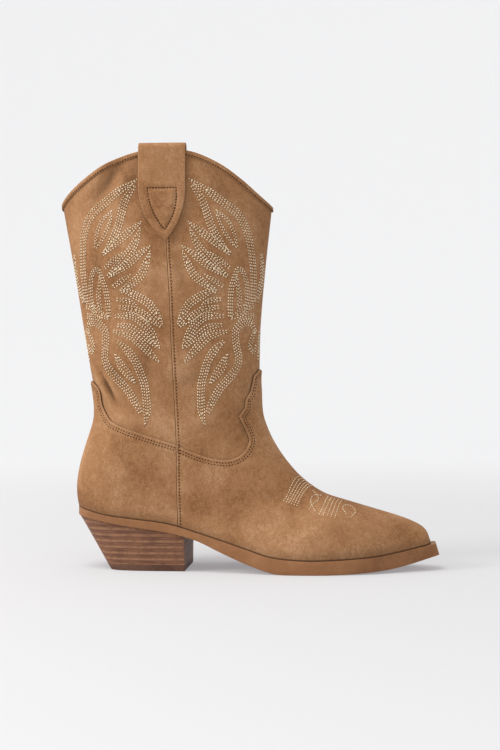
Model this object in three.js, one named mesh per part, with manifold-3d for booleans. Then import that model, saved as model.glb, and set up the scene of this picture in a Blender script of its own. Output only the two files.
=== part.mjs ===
// A pull-on western boot for the right foot: suede upper on a last-shaped form, unit sole with a
// squared toe, stacked heel, and the pieces inside that hold it in shape.
// Millimetres. +X points to the toe, +Y to the inner side of the foot, +Z up from the ground.

import * as THREE from "three";
import { mergeVertices } from "three/addons/utils/BufferGeometryUtils.js";
import Module from "manifold-3d";

const wasm = await Module();
wasm.setup();

// ---------------------------------------------------------------- driving dimensions

const SOLE_LENGTH = 288; // heel back to toe tip, along the ground
const BOOT_HEIGHT = 328; // ground to the highest point of the top line
const BALL_WIDTH = 86; // upper's outer width across the ball of the foot

const UPPER_LEATHER = 1.5; // suede of the shaft, the vamp and the counter
const LINING_LEATHER = 1.2;
const GLUE_LINE = 0.3; // gap that keeps neighbouring pieces apart
const SEAM_GAP = 0.4; // between two pieces that butt at a seam

const BINDING_THICKNESS = 0.8; // leather folded over the raw top edge
const BINDING_DEPTH = 3.2; // how far the binding reaches down the shaft

const STRAP_WIDTH = 37;
const STRAP_LEATHER = 1.6;
const STRAP_DROP = 76; // top of the loop to the tip of the outer leg
const STRAP_TAPER = 42; // length of the pointed end
const STRAP_EASE = 0.42; // of the taper's length, where its sides begin to turn in
const STRAP_LEAN = 3; // how far its tip is ahead of its top
const STRAP_INNER_DROP = 58; // top of the loop to the end of the leg inside the shaft
const LOOP_RISE = 1.2; // from the binding's top to the centre of the loop's bend

const INSOLE_BOARD = 2.2;
const SOCK_LINER = 1.4;

const WELT_EDGE = 0.5; // how far the sole stands out past the upper
const TOE_OVERHANG = 11.5; // how far the sole runs on past the upper's toe
const TOE_TIP_WIDTH = 19; // width of the squared sole tip
const TIP_RAKE = 2.4; // how far the tip's lower edge leads its upper edge
const RECESS_DEPTH = 2.8; // of the hollows in the sole's top that take filler and shank
const RECESS_INSET = 12; // from the upper's edge to the filler hollow
const RECESS_END = 8; // from the hollow's ends to the filler's

const SHANK_WIDTH = 14;
const SHANK_THICKNESS = 1.8;
const SHANK_START = -104;
const SHANK_END = 6;
const FILLER_START = 16;
const FILLER_END = 118;

const HEEL_BREAST_X = -49; // front face of the heel
const TOPLIFT_THICKNESS = 5;
const LIFT_COUNT = 8;
const HEEL_BASE_LENGTH = 61; // of the face that stands on the ground
const HEEL_BASE_TAPER = 0.84; // the base's width as a share of the seat's
const HEEL_BASE_SQUARENESS = 0.6; // how far the base's round back is drawn out towards its corners
const HEEL_SETBACK = 1; // how far the heel's top edge stays inside the sole

const NAIL_LENGTH = 27;
const NAIL_RADIUS = 1.1;
const NAIL_POINT = 4; // length of the taper
const NAIL_POINT_RADIUS = 0.5;
const NAIL_HEAD_RADIUS = 2.6;
const NAIL_HEAD = 0.9;
const NAIL_SINK = 0.5; // from the board's top down to the heads
const NAIL_PLACES = [
  [-117, 0],
  [-100, 15],
  [-100, -15],
  [-68, 17],
  [-68, -17],
];

// ---------------------------------------------------------------- the last: sizes of the form

// The form was drawn at these sizes, and is graded to the sizes above as a shoemaker grades a last.
const DRAWN_LENGTH = 288;
const DRAWN_HEIGHT = 328;
const DRAWN_BALL_WIDTH = 86;
const gradeX = (x) => (x * SOLE_LENGTH) / DRAWN_LENGTH;
const gradeY = (y) => (y * BALL_WIDTH) / DRAWN_BALL_WIDTH;
const gradeZ = (z) => (z * BOOT_HEIGHT) / DRAWN_HEIGHT;
const gradePoint = ([x, z]) => [gradeX(x), gradeZ(z)];

// Sections of the boot from the mouth to the toe. Each is a plane that holds the Y direction and runs
// from a front (or top) point to a back (or bottom) point, both on the middle plane as [x, z]. belly is
// how far along that line the section is widest. The two powers shape its front and back ends: 2 is an
// ellipse and more is squarer. shift moves the section to the inner side.
const SECTIONS = [
  { front: [23, 340], back: [-159, 340], half: 41, belly: 0.5, powers: [2.1, 2.2], shift: 0 },
  { front: [18, 290], back: [-151, 290], half: 41, belly: 0.5, powers: [2.1, 2.2], shift: 0 },
  { front: [12, 235], back: [-141, 235], half: 39.5, belly: 0.5, powers: [2.1, 2.2], shift: 0 },
  { front: [8, 184], back: [-132.8, 184], half: 36, belly: 0.52, powers: [2.1, 2.2], shift: 0 },
  { front: [8, 150], back: [-126.6, 148], half: 32, belly: 0.54, powers: [2.1, 2.2], shift: 0 },
  { front: [8.5, 126], back: [-123.8, 122], half: 30, belly: 0.56, powers: [2, 2.3], shift: 0 },
  { front: [12, 113], back: [-129, 103], half: 30, belly: 0.6, powers: [2, 2.4], shift: 0 },
  { front: [18, 100], back: [-135.2, 82], half: 30.5, belly: 0.66, powers: [2, 2.4], shift: 0 },
  { front: [26.5, 87], back: [-137.6, 60], half: 31.5, belly: 0.7, powers: [2, 2.4], shift: 0 },
  { front: [37, 74.5], back: [-130.5, 38], half: 32, belly: 0.68, powers: [2, 2.6], shift: 0 },
  { front: [47, 66], back: [-104, 16], half: 32, belly: 0.62, powers: [2, 3], shift: 1 },
  { front: [60, 58], back: [-50, -4], half: 36, belly: 0.56, powers: [2, 3], shift: 0 },
  { front: [78, 52.6], back: [18, -14], half: 43, belly: 0.54, powers: [1.9, 3], shift: -1 },
  { front: [100, 46], back: [76, -14], half: 37, belly: 0.52, powers: [1.9, 3], shift: 0.5 },
  { front: [119, 40.2], back: [110, -8], half: 25.5, belly: 0.52, powers: [1.9, 3], shift: 3 },
  { front: [132.5, 34.6], back: [129, 0], half: 16.5, belly: 0.5, powers: [2, 3], shift: 4.5 },
  { front: [139, 29.6], back: [138, 6], half: 12.5, belly: 0.5, powers: [2.2, 3], shift: 5 },
  { front: [141.5, 23], back: [141.5, 13], half: 8.5, belly: 0.5, powers: [2.4, 3], shift: 5.2 },
];
const RINGS_PER_SECTION = 1;
const POINTS_AROUND = 24;
const FEATHER_POINTS = 36; // along each side of the line where the upper meets the sole

// Lines in side view, as [x, z], from the heel to the toe.
const SOLE_TOP = [
  [-137, 49], [-110, 43.3], [-65, 37.8], [-36, 29.8], [0, 18.6],
  [20, 12.8], [45, 10.8], [70, 11.2], [100, 13.1], [125, 16.8], [152, 21.8],
];
const SOLE_FLAT = [30, 62]; // the stretch of the tread that lies on the ground
const SOLE_BOTTOM = [
  [-137, 42.5], [-103, 36.4], [-65, 31], [-40, 24.8], [-21, 16.2], [-2, 8.2],
  [15, 2.4], [SOLE_FLAT[0], 0], [SOLE_FLAT[1], 0], [98, 1.6], [122, 4.8], [153, 12.6],
];
const TOP_LINE = [
  [-151, 289], [-134, 303], [-110, 317.8], [-84, 326.8], [-62, 328],
  [-42, 326.4], [-21, 317.5], [-4, 305.5], [7, 296], [18, 287],
];
// The side seam, upwards.
const SIDE_SEAM = [
  [-53.5, 30], [-55, 72], [-55.5, 99.5], [-58.2, 163], [-60, 218], [-62, 257], [-65.2, 335],
];
// Top edge of the counter, from the back to the side seam.
const COUNTER_LINE = [
  [-126, 149], [-118.5, 142], [-117, 132], [-113, 124],
  [-106, 116.5], [-86.5, 109], [-67, 103], [-55.5, 99.5],
];
// Top edge of the vamp, from the side seam to the front: a deep curve, a sharp notch, and two small steps.
const VAMP_CURVE = [
  [-55.5, 99.5], [-42, 93.3], [-26.5, 88.5], [-13, 87.8], [-4, 92.5], [0.5, 100], [0.2, 106], [-7, 121.5],
];
const VAMP_STEPS = [[[-2.4, 128], [-1.6, 135]], [[2.3, 141], [4.2, 149]], [[4.6, 153], [9, 158.5]]];
// Hidden lower edges of the shaft panels, under the vamp and the counter.
const FRONT_TUCK = [
  [-55.5, 90.5], [-26, 79.5], [-6, 80.5], [7, 90], [9.5, 104], [4, 116], [2.5, 128], [6, 140], [24, 149],
];
const BACK_TUCK = [[-140, 121], [-122, 116], [-106, 107.5], [-86, 101], [-55.5, 90.5]];
const LINING_SPLIT = [[-150, 84], [40, 100]]; // shaft lining above, foot lining below
const TOE_PUFF_EDGE = [[104, 0], [98, 60]]; // upwards

// ---------------------------------------------------------------- solids

/** A closed THREE geometry as a manifold solid. */
function solidOf(geometry) {
  const bare = geometry.index ? geometry.toNonIndexed() : geometry.clone();
  bare.deleteAttribute("normal");
  bare.deleteAttribute("uv");
  const merged = mergeVertices(bare, 1e-4);
  return new wasm.Manifold(
    new wasm.Mesh({
      numProp: 3,
      vertProperties: merged.attributes.position.array,
      triVerts: new Uint32Array(merged.index.array),
    }),
  );
}

/** A manifold solid as a THREE geometry with flat faces. */
function geometryOf(solid) {
  const mesh = solid.getMesh();
  const geometry = new THREE.BufferGeometry();
  geometry.setAttribute("position", new THREE.BufferAttribute(mesh.vertProperties, 3));
  geometry.setIndex(new THREE.BufferAttribute(mesh.triVerts, 1));
  geometry.computeVertexNormals();
  return geometry;
}

/** Closed solid through rings of Vector3 that have the same number of points, with flat ends. */
function loft(rings) {
  const count = rings[0].length;
  const middles = [rings[0], rings.at(-1)].map((ring) =>
    ring.reduce((sum, point) => sum.add(point), new THREE.Vector3()).divideScalar(count),
  );
  const points = [...rings.flat(), ...middles];
  const firstMiddle = rings.length * count;
  const faces = [];
  for (let i = 0; i < count; i++) {
    const next = (i + 1) % count;
    for (let k = 0; k + 1 < rings.length; k++) {
      const [a, b] = [k * count + i, k * count + next];
      faces.push(a, b, b + count, a, b + count, a + count);
    }
    const last = (rings.length - 1) * count;
    faces.push(firstMiddle, next, i, firstMiddle + 1, last + i, last + next);
  }
  const geometry = new THREE.BufferGeometry().setFromPoints(points).setIndex(faces);
  const solid = solidOf(geometry);
  return solid.volume() < 0 ? solidOf(geometry.setIndex(faces.reverse())) : solid;
}

const FAR = 260; // past every side of the boot, for cutting shapes
const REACH = 500;

/** Prism across the boot, over a closed outline of [x, z] points. */
function sidePrism(outline) {
  const shape = new THREE.Shape(outline.map(([x, z]) => new THREE.Vector2(x, z)));
  const geometry = new THREE.ExtrudeGeometry(shape, { depth: FAR, bevelEnabled: false });
  return solidOf(geometry.rotateX(Math.PI / 2).translate(0, FAR / 2, 0));
}

/** Upright prism over a closed outline of [x, y] points. */
function planPrism(outline) {
  const shape = new THREE.Shape(outline.map(([x, y]) => new THREE.Vector2(x, y)));
  const geometry = new THREE.ExtrudeGeometry(shape, { depth: FAR, bevelEnabled: false });
  return solidOf(geometry.translate(0, 0, -FAR / 2));
}

/** Smooth open line through a few graded [x, z] points. */
function smooth(points, steps = 2) {
  const curve = new THREE.SplineCurve(points.map((p) => new THREE.Vector2(...gradePoint(p))));
  return curve.getPoints((points.length - 1) * steps).map((p) => [p.x, p.y]);
}

/** Line moved sideways by a distance, to the left of the way it runs. */
function offsetLine(line, distance) {
  return line.map(([x, z], i) => {
    const [before, after] = [line[Math.max(i - 1, 0)], line[Math.min(i + 1, line.length - 1)]];
    const [tx, tz] = [after[0] - before[0], after[1] - before[1]];
    const length = Math.hypot(tx, tz);
    return [x - (tz / length) * distance, z + (tx / length) * distance];
  });
}

/** A forward-running line carried on level past both ends of the boot. */
const carriedOn = (line) => [[-REACH, line[0][1]], ...line, [REACH, line.at(-1)[1]]];

/** Everything above a side-view line that runs forwards, raised by lift. */
function above(line, lift = 0) {
  const edge = offsetLine(line, lift);
  return sidePrism([...carriedOn(edge), [REACH, REACH], [-REACH, REACH]]);
}

/** Everything below a side-view line that runs forwards, raised by lift. */
function below(line, lift = 0) {
  const edge = offsetLine(line, lift);
  return sidePrism([...carriedOn(edge), [REACH, -REACH], [-REACH, -REACH]]);
}

/** An upward-running line carried on upright past the boot's top and bottom. */
const raisedOn = (line) => [[line[0][0], -REACH], ...line, [line.at(-1)[0], REACH]];

/** Everything ahead of a side-view line that runs upwards, moved forwards by push. */
function ahead(line, push = 0) {
  const edge = offsetLine(line, -push);
  return sidePrism([...raisedOn(edge), [REACH, REACH], [REACH, -REACH]]);
}

/** Everything behind a side-view line that runs upwards, moved forwards by push. */
function behind(line, push = 0) {
  const edge = offsetLine(line, -push);
  return sidePrism([...raisedOn(edge), [-REACH, REACH], [-REACH, -REACH]]);
}

/** One side of the middle plane: side is 1 for the inner side of the foot and -1 for the outer. */
function sideOf(side) {
  return solidOf(new THREE.BoxGeometry(2 * REACH, FAR, 2 * REACH).translate(0, (side * FAR) / 2, 0));
}

/** What is common to several solids. */
const common = (...solids) => solids.reduce((kept, solid) => kept.intersect(solid));

// ---------------------------------------------------------------- the form of the foot and leg

const curveOf = (values) => new THREE.CatmullRomCurve3(values, false, "catmullrom", 0.5);
const pointOf = ([x, z]) => new THREE.Vector3(gradeX(x), 0, gradeZ(z));
const FRONT_CURVE = curveOf(SECTIONS.map((s) => pointOf(s.front)));
const BACK_CURVE = curveOf(SECTIONS.map((s) => pointOf(s.back)));
const WIDTH_CURVE = curveOf(
  SECTIONS.map((s) => new THREE.Vector3(gradeY(s.half), s.belly, gradeY(s.shift))),
);
const POWER_CURVE = curveOf(SECTIONS.map((s) => new THREE.Vector3(...s.powers, 0)));

/** The section at v, from 0 at the mouth to 1 at the toe. */
function sectionAt(v) {
  const front = FRONT_CURVE.getPoint(v);
  const along = BACK_CURVE.getPoint(v).sub(front);
  const width = WIDTH_CURVE.getPoint(v);
  const power = POWER_CURVE.getPoint(v);
  const powers = { frontPower: power.x, backPower: power.y };
  return { front, along, half: width.x, belly: width.y, shift: width.z, ...powers };
}

/** Half width of a section, a share of the way from its front point to its back point. */
function halfWidthAt(section, share) {
  const { belly, half, frontPower, backPower } = section;
  const inFront = share < belly;
  const reach = inFront ? (belly - share) / belly : (share - belly) / (1 - belly);
  const power = inFront ? frontPower : backPower;
  return half * (1 - Math.min(reach, 1) ** power) ** (1 / power);
}

/** Point of the form's surface at v, and at an angle of 0 at the front and PI at the back. */
function formPoint(v, angle) {
  const section = sectionAt(v);
  const [c, s] = [Math.cos(angle), Math.sin(angle)];
  const power = c > 0 ? section.frontPower : section.backPower;
  const radius = (Math.abs(c) ** power + Math.abs(s) ** power) ** (-1 / power);
  const length = c > 0 ? section.belly : 1 - section.belly;
  const point = section.front.clone().addScaledVector(section.along, section.belly - radius * c * length);
  point.y += section.shift + radius * s * section.half;
  return point;
}

/** Surface point moved out along the surface's normal. */
function offsetPoint(v, angle, offset) {
  const step = 1e-3;
  const across = formPoint(v, angle + step).sub(formPoint(v, angle - step));
  const down = formPoint(Math.min(v + step, 1), angle).sub(formPoint(Math.max(v - step, 0), angle));
  return formPoint(v, angle).addScaledVector(across.cross(down).normalize(), -offset);
}

/** Solid inside the form's surface, moved out by offset. */
function formSolid(offset) {
  const count = (SECTIONS.length - 1) * RINGS_PER_SECTION;
  const turn = (2 * Math.PI) / POINTS_AROUND;
  const ringAt = (v) => Array.from({ length: POINTS_AROUND }, (_, i) => offsetPoint(v, turn * i, offset));
  return loft(Array.from({ length: count + 1 }, (_, k) => ringAt(k / count)));
}

/** Wall of leather between two offsets of the form. */
const wall = (inner, outer) => formSolid(outer).subtract(formSolid(inner));

// ---------------------------------------------------------------- lines and layers in use

const soleTop = smooth(SOLE_TOP);
const soleBottom = smooth(SOLE_BOTTOM).map(([x, z]) =>
  x >= gradeX(SOLE_FLAT[0]) && x <= gradeX(SOLE_FLAT[1]) ? [x, 0] : [x, Math.max(z, 0)],
);
const topLine = smooth(TOP_LINE);
const sideSeam = smooth(SIDE_SEAM);
const counterLine = smooth(COUNTER_LINE, 3);
const vampLine = [...smooth(VAMP_CURVE, 3), ...VAMP_STEPS.flatMap((step) => step.map(gradePoint))];
const frontTuck = smooth(FRONT_TUCK);
const backTuck = smooth(BACK_TUCK);
const liningSplit = LINING_SPLIT.map(gradePoint);
const toePuffEdge = TOE_PUFF_EDGE.map(gradePoint);

/** Height of a forward-running line at x. */
function heightAt(line, x) {
  const k = Math.min(Math.max(line.findIndex((p) => p[0] >= x), 1), line.length - 1);
  const [[x0, z0], [x1, z1]] = [line[k - 1], line[k]];
  return z0 + ((z1 - z0) * (x - x0)) / (x1 - x0);
}

const OVERLAY = [GLUE_LINE, GLUE_LINE + UPPER_LEATHER];
const MIDDLE = [-UPPER_LEATHER, 0];
const LINING = [MIDDLE[0] - GLUE_LINE - LINING_LEATHER, MIDDLE[0] - GLUE_LINE];
const CAVITY = LINING[0] - GLUE_LINE;
const SOLE_MARGIN = OVERLAY[1] + WELT_EDGE;

const halfGap = SEAM_GAP / 2;
const aboveSole = above(soleTop, GLUE_LINE);
const aheadOfSeam = ahead(sideSeam, halfGap);
const behindSeam = behind(sideSeam, -halfGap);
const belowTop = below(topLine);

/** Height over the sole's top of the point a share of the way along the section at v. */
function heightOverSole(v, share) {
  const section = sectionAt(v);
  const point = section.front.addScaledVector(section.along, share);
  return point.z - heightAt(soleTop, point.x);
}

/** The value between low and high where a falling measure passes zero. */
function crossing(low, high, measure) {
  const middle = (low + high) / 2;
  if (high - low < 1e-7) return middle;
  return measure(middle) > 0 ? crossing(middle, high, measure) : crossing(low, middle, measure);
}

/** Outline of the upper where it meets the sole, moved out by margin: [x, y] from heel to toe and back. */
function featherOutline(margin) {
  const start = crossing(0.4, 0.7, (v) => heightOverSole(v, 1));
  const inner = [];
  const outer = [];
  for (let k = 1; k <= FEATHER_POINTS; k++) {
    const v = start + ((1 - start) * (1 - Math.cos((Math.PI * k) / FEATHER_POINTS))) / 2;
    const section = sectionAt(v);
    const share = crossing(0, 1, (s) => heightOverSole(v, s));
    const x = section.front.x + section.along.x * share;
    if (k > 1 && x < outer.at(-1)[0] + 1) continue;
    const half = halfWidthAt(section, share);
    outer.push([x, section.shift - half]);
    inner.unshift([x, section.shift + half]);
  }
  const outline = [...outer, ...inner];
  return outline.map((p, i) => {
    const [before, after] = [outline.at(i - 1), outline[(i + 1) % outline.length]];
    const [tx, ty] = [after[0] - before[0], after[1] - before[1]];
    const length = Math.hypot(tx, ty);
    return [p[0] + (ty / length) * margin, p[1] - (tx / length) * margin];
  });
}

// ---------------------------------------------------------------- upper

const pieces = new Map();
const add = (name, material, solid) => pieces.set(name, { material, solid });

function buildUpper() {
  const overlay = wall(...OVERLAY);
  add("vamp", "suede", common(overlay, aboveSole, aheadOfSeam, below(vampLine)));
  add("counter", "suede", common(overlay, aboveSole, behindSeam, below(counterLine)));

  const middle = wall(...MIDDLE);
  add("shaft_front", "suede", common(middle, aheadOfSeam, above(frontTuck), belowTop));
  add("shaft_back", "suede", common(middle, behindSeam, above(backTuck), belowTop));
  const foot = common(middle, aboveSole);
  add("toe_puff", "stiffener", common(foot, ahead(toePuffEdge, halfGap)));
  const behindPuff = behind(toePuffEdge, -halfGap);
  add("vamp_interlining", "canvas", common(foot, aheadOfSeam, below(frontTuck, -SEAM_GAP), behindPuff));
  add("heel_stiffener", "stiffener", common(foot, behindSeam, below(backTuck, -SEAM_GAP)));

  const lining = wall(...LINING);
  const shaftLining = common(lining, above(liningSplit, halfGap), belowTop);
  const footLining = common(lining, below(liningSplit, -halfGap), aboveSole);
  add("shaft_lining_front", "lining", common(shaftLining, aheadOfSeam));
  add("shaft_lining_back", "lining", common(shaftLining, behindSeam));
  add("vamp_lining", "lining", common(footLining, aheadOfSeam));
  add("heel_lining", "lining", common(footLining, behindSeam));
}

/** Folded strip round the mouth, which straddles the raw edges of shaft and lining. */
function buildBinding() {
  const [innerFace, outerFace] = [LINING[0] - GLUE_LINE, MIDDLE[1] + GLUE_LINE];
  const band = common(
    wall(innerFace - BINDING_THICKNESS, outerFace + BINDING_THICKNESS),
    above(topLine, -BINDING_DEPTH),
    below(topLine, GLUE_LINE + BINDING_THICKNESS),
  );
  const edges = common(wall(innerFace, outerFace), below(topLine, GLUE_LINE));
  add("topline_binding", "suede", band.subtract(edges));
}

/** Side outline of a strap's outer leg, from its loop down to its leaning point and back up. */
function strapOutline(left, right, loopZ, top) {
  const taperTop = top - STRAP_DROP + STRAP_TAPER;
  const easeZ = top - STRAP_DROP + STRAP_TAPER * STRAP_EASE;
  const leg = new THREE.Shape();
  leg.moveTo(left, loopZ);
  leg.lineTo(left, taperTop);
  leg.quadraticCurveTo(left, easeZ, (left + right) / 2 + STRAP_LEAN, top - STRAP_DROP);
  leg.quadraticCurveTo(right, easeZ, right, taperTop);
  leg.lineTo(right, loopZ);
  return leg.getPoints(6).map((p) => [p.x, p.y]);
}

/** Half-round bend of a strap over the mouth, centred on y and z and running forwards from x. */
function strapBend(radius, x, y, z) {
  const section = new THREE.Shape();
  section.absarc(0, 0, radius, 0, Math.PI, false);
  section.absarc(0, 0, radius - STRAP_LEATHER, Math.PI, 0, true);
  const options = { depth: STRAP_WIDTH, bevelEnabled: false, curveSegments: 6 };
  const bend = new THREE.ExtrudeGeometry(section, options);
  return solidOf(bend.rotateX(Math.PI / 2).rotateZ(Math.PI / 2).translate(x, y, z));
}

/** One pull strap: a strip sewn down outside, looped over the mouth and sewn down inside. */
function buildStrap(name, side) {
  const clear = GLUE_LINE + BINDING_THICKNESS + GLUE_LINE;
  const outer = [MIDDLE[1] + clear, MIDDLE[1] + clear + STRAP_LEATHER];
  const inner = [LINING[0] - clear - STRAP_LEATHER, LINING[0] - clear];
  const radius = (outer[1] - inner[0]) / 2;
  const bendZ = BOOT_HEIGHT + BINDING_THICKNESS + LOOP_RISE;
  const legTop = bendZ + GLUE_LINE; // a little into the bend, so that the two join
  const top = bendZ + radius;
  const middle = sideSeam.at(-1)[0];
  const [left, right] = [middle - STRAP_WIDTH / 2, middle + STRAP_WIDTH / 2];
  const insideEnd = top - STRAP_INNER_DROP;
  const insideOutline = [[left, insideEnd], [right, insideEnd], [right, legTop], [left, legTop]];
  const bendY = side * (gradeY(SECTIONS[0].half) + (outer[1] + inner[0]) / 2);

  const oneSide = sideOf(side);
  const outside = common(wall(...outer), sidePrism(strapOutline(left, right, legTop, top)), oneSide);
  const inside = common(wall(...inner), sidePrism(insideOutline), oneSide);
  add(name, "suede", outside.add(inside).add(strapBend(radius, left, bendY, bendZ)));
}

// ---------------------------------------------------------------- bottom

/** Index of an outline's first point on the inner side of the foot, after the outer side's last. */
const turnOf = (outline) => outline.findIndex((p, i) => i > 0 && p[1] > 0 && outline[i - 1][1] < 0);

/** Outline of the sole in plan, with the squared tip that runs on past the toe. */
function soleOutline() {
  const margin = featherOutline(SOLE_MARGIN);
  const toeX = Math.max(...margin.map((p) => p[0])) - SOLE_MARGIN;
  const toeY = gradeY(SECTIONS.at(-1).shift);
  const kept = margin.filter((p) => p[0] < toeX - TOE_OVERHANG);
  const half = TOE_TIP_WIDTH / 2;
  const tip = toeX + TOE_OVERHANG;
  const turn = turnOf(kept);
  return [...kept.slice(0, turn), [tip, toeY - half], [tip, toeY + half], ...kept.slice(turn)];
}

/** Band between two heights over a line. */
const band = (line, low, high) => common(above(line, low), below(line, high));

/** Board and sock that the foot stands on. */
function buildInsole(nailHoles) {
  const inside = formSolid(CAVITY);
  const boardTop = GLUE_LINE + INSOLE_BOARD;
  const board = common(inside, band(soleTop, GLUE_LINE, boardTop));
  add("insole_board", "board", board.subtract(nailHoles));
  const sockBase = boardTop + GLUE_LINE;
  add("sock_liner", "lining", common(inside, band(soleTop, sockBase, sockBase + SOCK_LINER)));
}

/** Hollow under the forefoot, or the filler in it when it is drawn in from the hollow's sides and ends. */
function fillerPlan(sideInset, endInset) {
  const [start, end] = [gradeX(FILLER_START) + endInset, gradeX(FILLER_END) - endInset];
  return planPrism(featherOutline(-RECESS_INSET - sideInset).filter(([x]) => x > start && x < end));
}

/** Slot for the shank, or the shank's own plan when it has no clearance. */
function shankPlan(clearance) {
  const [start, end] = [gradeX(SHANK_START) - clearance, gradeX(SHANK_END) + clearance];
  const half = SHANK_WIDTH / 2 + clearance;
  return planPrism([[start, -half], [end, -half], [end, half], [start, half]]);
}

/** Sole with its squared tip, and the filler and the shank in its upper side. */
function buildSole(nailHoles) {
  const outline = soleOutline();
  const tipX = Math.max(...outline.map((p) => p[0]));
  const rakedTip = behind([[tipX, 0], [tipX - TIP_RAKE, heightAt(soleTop, tipX)]]);
  const recess = above(soleTop, -RECESS_DEPTH);
  const sole = common(planPrism(outline), above(soleBottom), below(soleTop), rakedTip)
    .subtract(common(fillerPlan(0, 0), recess))
    .subtract(common(shankPlan(GLUE_LINE), recess));
  add("outsole", "sole", sole.subtract(nailHoles));

  const floor = -RECESS_DEPTH + GLUE_LINE;
  add("forefoot_filler", "cork", common(fillerPlan(GLUE_LINE, RECESS_END), band(soleTop, floor, 0)));
  add("shank", "steel", common(shankPlan(0), band(soleTop, floor, floor + SHANK_THICKNESS)));
}

/** Outline of the heel at a height, scaled about the breast from the sole's own outline. */
function heelRing(seat, z) {
  const breast = gradeX(HEEL_BREAST_X);
  const back = Math.min(...seat.map((p) => p[0]));
  const top = heightAt(soleBottom, back);
  const down = 1 - z / top;
  const lengthShare = 1 + (HEEL_BASE_LENGTH / (breast - back) - 1) * down;
  const widthShare = 1 + (HEEL_BASE_TAPER - 1) * down;
  const widest = Math.max(...seat.map((p) => Math.abs(p[1])));
  const fullness = 1 - HEEL_BASE_SQUARENESS * down;
  return seat.map(([x, y]) => {
    const squared = Math.sign(y) * widest * (Math.abs(y) / widest) ** fullness;
    return new THREE.Vector3(breast + (x - breast) * lengthShare, squared * widthShare, z);
  });
}

/** Plan of the heel where it meets the sole, cut straight at the breast. */
function heelSeat() {
  const breast = gradeX(HEEL_BREAST_X);
  const outline = featherOutline(SOLE_MARGIN - HEEL_SETBACK).filter((p) => p[0] < breast);
  const turn = turnOf(outline);
  const corners = [[breast, outline[turn - 1][1]], [breast, outline[turn][1]]];
  return [...outline.slice(0, turn), ...corners, ...outline.slice(turn)];
}

function buildHeel(nailHoles) {
  const seat = heelSeat();
  const top = heightAt(soleBottom, Math.min(...seat.map((p) => p[0])));
  const pitch = (top - TOPLIFT_THICKNESS) / LIFT_COUNT;
  const slab = (low, high) => loft([heelRing(seat, low), heelRing(seat, high)]);
  const underSole = below(soleBottom, -GLUE_LINE);

  add("heel_toplift", "rubber", slab(0, TOPLIFT_THICKNESS - GLUE_LINE));
  for (let k = 0; k < LIFT_COUNT; k++) {
    const low = TOPLIFT_THICKNESS + k * pitch;
    const lift = common(slab(low, low + pitch - GLUE_LINE), underSole);
    add(`heel_lift_${k + 1}`, "stack", lift.subtract(nailHoles));
  }
}

/** Nail with its head up, or the hole that it needs, open at the top, when clearance is added. */
function nailSolid([x, y], clearance = 0) {
  const head = heightAt(soleTop, gradeX(x)) + GLUE_LINE + INSOLE_BOARD - NAIL_SINK;
  const top = clearance > 0 ? NAIL_SINK + clearance : 0;
  const profile = [
    [0, -NAIL_LENGTH - clearance],
    [NAIL_POINT_RADIUS + clearance, -NAIL_LENGTH - clearance],
    [NAIL_RADIUS + clearance, -NAIL_LENGTH + NAIL_POINT],
    [NAIL_RADIUS + clearance, -NAIL_HEAD - clearance],
    [NAIL_HEAD_RADIUS + clearance, -NAIL_HEAD - clearance],
    [NAIL_HEAD_RADIUS + clearance, top],
    [0, top],
  ];
  const lathe = new THREE.LatheGeometry(profile.map((p) => new THREE.Vector2(...p)), 8);
  return solidOf(lathe.rotateX(Math.PI / 2).translate(gradeX(x), gradeY(y), head));
}

function buildNails() {
  NAIL_PLACES.forEach((place, i) => add(`heel_nail_${i + 1}`, "steel", nailSolid(place)));
  return NAIL_PLACES.map((place) => nailSolid(place, GLUE_LINE)).reduce((holes, hole) => holes.add(hole));
}

// ---------------------------------------------------------------- assembly

const material = (color, roughness, metalness = 0) =>
  new THREE.MeshStandardMaterial({ color, roughness, metalness });
const MATERIALS = {
  suede: material(0xa97f5d, 0.95),
  lining: material(0xc9a982, 0.8),
  canvas: material(0xd8cdb8, 0.95),
  stiffener: material(0xb59a78, 0.9),
  board: material(0xb08d66, 0.9),
  cork: material(0xb98b5a, 0.95),
  sole: material(0x9c6b43, 0.6),
  stack: material(0x7a5140, 0.55),
  rubber: material(0x5a4037, 0.7),
  steel: material(0x9a9a9a, 0.4, 0.9),
};

buildUpper();
buildBinding();
buildStrap("pull_strap_outer", -1);
buildStrap("pull_strap_inner", 1);
const nailHoles = buildNails();
buildInsole(nailHoles);
buildSole(nailHoles);
buildHeel(nailHoles);

const boot = new THREE.Group();
for (const [name, { material: finish, solid }] of pieces) {
  const mesh = new THREE.Mesh(geometryOf(solid), MATERIALS[finish]);
  mesh.name = name;
  boot.add(mesh);
}

// The origin is on the ground, under the middle of the boot.
const box = new THREE.Box3().setFromObject(boot);
const centre = box.getCenter(new THREE.Vector3());
boot.position.set(-centre.x, -centre.y, -box.min.z);

export default boot;
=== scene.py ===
"""Looks for a tan suede western boot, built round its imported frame.

Shapes are worked out in millimetres in the frame's own axes: +X to the toe, +Y to the inner side of
the foot, +Z up from the ground. Pieces are turned to metres when their meshes are made.
"""

from __future__ import annotations

import logging
import math
from collections.abc import Callable, Sequence
from dataclasses import asdict, dataclass
from enum import Enum
from typing import ClassVar

import bpy
import numpy as np
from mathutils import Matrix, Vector
from mathutils.geometry import delaunay_2d_cdt


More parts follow.
